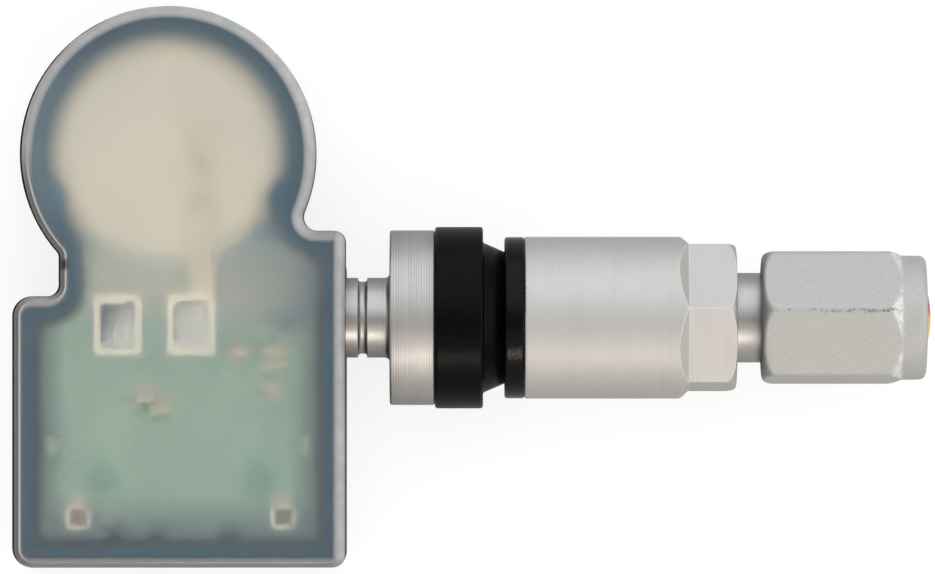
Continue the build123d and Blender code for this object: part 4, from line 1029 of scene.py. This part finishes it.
def studio_light():
    """World of soft, even light with a few broad softboxes, white where the camera sees it."""
    world = bpy.data.worlds.new("studio")
    world.use_nodes = True
    bpy.context.scene.world = world
    tree = world.node_tree
    tree.nodes.clear()
    way = put(tree, "TexCoord").outputs["Generated"]
    total = (AMBIENT, AMBIENT, AMBIENT)
    for direction, colour, strength, narrow, wide in LAMPS:
        centre = Vector(direction).normalized()
        facing = put(tree, "VectorMath", {0: way, 1: centre}, operation="DOT_PRODUCT")
        edges = {"From Min": math.cos(math.radians(wide)), "From Max": math.cos(math.radians(narrow))}
        lit = put(tree, "MapRange", {"Value": facing} | edges, interpolation_type="SMOOTHSTEP")
        full = [strength * c for c in linear(colour)[:3]]
        tint = put(tree, "VectorMath", {0: full, "Scale": lit}, operation="SCALE")
        total = put(tree, "VectorMath", {0: total, 1: tint}, operation="ADD")
    light = put(tree, "Background", {"Color": total})
    white = put(tree, "Background", {"Color": (1, 1, 1, 1)})
    seen = put(tree, "LightPath").outputs["Is Camera Ray"]
    mix = put(tree, "MixShader", {0: seen, 1: light, 2: white})
    put(tree, "OutputWorld", {"Surface": mix})


def photo_camera():
    """Camera straight above the potted face, far enough away for the photograph's flat perspective."""
    distance = 0.9
    level = 3.0 * MM
    camera = bpy.data.cameras.new("camera")
    camera.sensor_fit = "HORIZONTAL"
    camera.sensor_width = 36.0
    width = PHOTO_WIDTH / PIXELS_PER_MM * MM
    camera.lens = camera.sensor_width * distance / width
    camera.clip_start = 0.01
    holder = bpy.data.objects.new("camera", camera)
    holder.location = (
        (PHOTO_WIDTH / 2 - ORIGIN_PIXEL[0]) / PIXELS_PER_MM * MM,
        (ORIGIN_PIXEL[1] - PHOTO_HEIGHT / 2) / PIXELS_PER_MM * MM,
        level + distance,
    )
    bpy.context.scene.collection.objects.link(holder)
    bpy.context.scene.camera = holder


resin = cast_resin()
stem_finish = turned_aluminium("brushed_aluminium", "9C9A96", "B9B7B3", 0.22, 0.003, 0.46, 0.003)
neck_finish = turned_aluminium("turned_aluminium", "A09E9A", "B8B6B2", 0.2, 0.002, 0.38, 0.002)
nut_finish = turned_aluminium("satin_aluminium", "BDBCB8", "C8C6C2", 0.16, 0.001, 0.6, 0.002)
tab_finish = nickel_tab()
brass = machined_brass()
seal = moulded_rubber("seal_rubber", "161616", "2A2A2A")
steel = plated_steel("zinc_plated_steel", "9B9C9C", "BDBEBE", 0.35)
spring_wire = plated_steel("drawn_spring_steel", "94928D", "B2B0AB", 0.32)
finishes = {
    "housing": moulded_nylon(),
    "circuit_board": masked_board(),
    "coin_cell": plated_steel("nickel_plated_cell", "DCD8CF", "E4E0D8", 0.6),
    "negative_tab": tab_finish,
    "positive_tab": tab_finish,
    "loop_antenna": tinned_bar(),
    "antenna_solder": tinned_pad(),
    "pressure_sensor_ic": fired_ceramic("moulded_chip_epoxy", "161718", "232425"),
    "port_seal": moulded_rubber("silicone_seal", "6A6D70", "85888B"),
    "crystal": steel,
    "lf_core": fired_ceramic("sintered_ferrite", "24262A", "34363A"),
    "lf_winding": wound_wire(),
    "chip_capacitors": fired_ceramic("fired_capacitor_ceramic", "ABACA0", "B6B5AA"),
    "chip_resistors": fired_ceramic("fired_alumina", "93A198", "A2ADA3"),
    "stem_screw": steel,
    "grommet": moulded_rubber("moulded_nitrile_rubber", "030303", "0C0C0C"),
    "nut_washer": moulded_acetal(),
    "valve_nut": nut_finish,
    "valve_cap": tumbled_aluminium(),
    "cap_dome": domed_resin(),
    "cap_seal": seal,
    "core_body": brass,
    "core_gasket": fired_ceramic("moulded_gasket_polymer", "8C3B2E", "A24A3A"),
    "core_pin": brass,
    "core_cup": brass,
    "core_cup_seal": seal,
}
for node, finish in finishes.items():
    nodes[node].data.materials.clear()
    nodes[node].data.materials.append(finish)

outline = sensor_outline()
add_piece("potting", resin_block(outline), resin, "sensor", "potting_resin", "potting_compound")
add_piece("gap_resin", gap_fill(outline), clouded_resin(), "sensor", "potting_resin")
add_piece("solder", solder_fill(), window_solder(), "sensor", "solder", "tab_solder")
stem = add_piece("stem", stem_mesh(), stem_finish, "sensor", "stem_aluminium", "valve_stem")
drill_air_hole(stem)
stem.data.materials.append(neck_finish)
for face in stem.data.polygons:
    on_collar = COLLAR_X - COLLAR_EDGE < face.center.x / MM < COLLAR_EDGE - GROMMET_LENGTH
    face.material_index = 0 if on_collar else 1
spring_low, spring_high = (Vector(c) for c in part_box("core_spring"))
coil = coil_mesh(spring_low, spring_high)
spring = add_piece("spring", coil, spring_wire, "sensor", "spring_steel", "core_spring")
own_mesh(spring)
tumble(nodes["valve_cap"])

pale_floor()
studio_light()
photo_camera()
bpy.context.scene.view_settings.view_transform = "Standard"
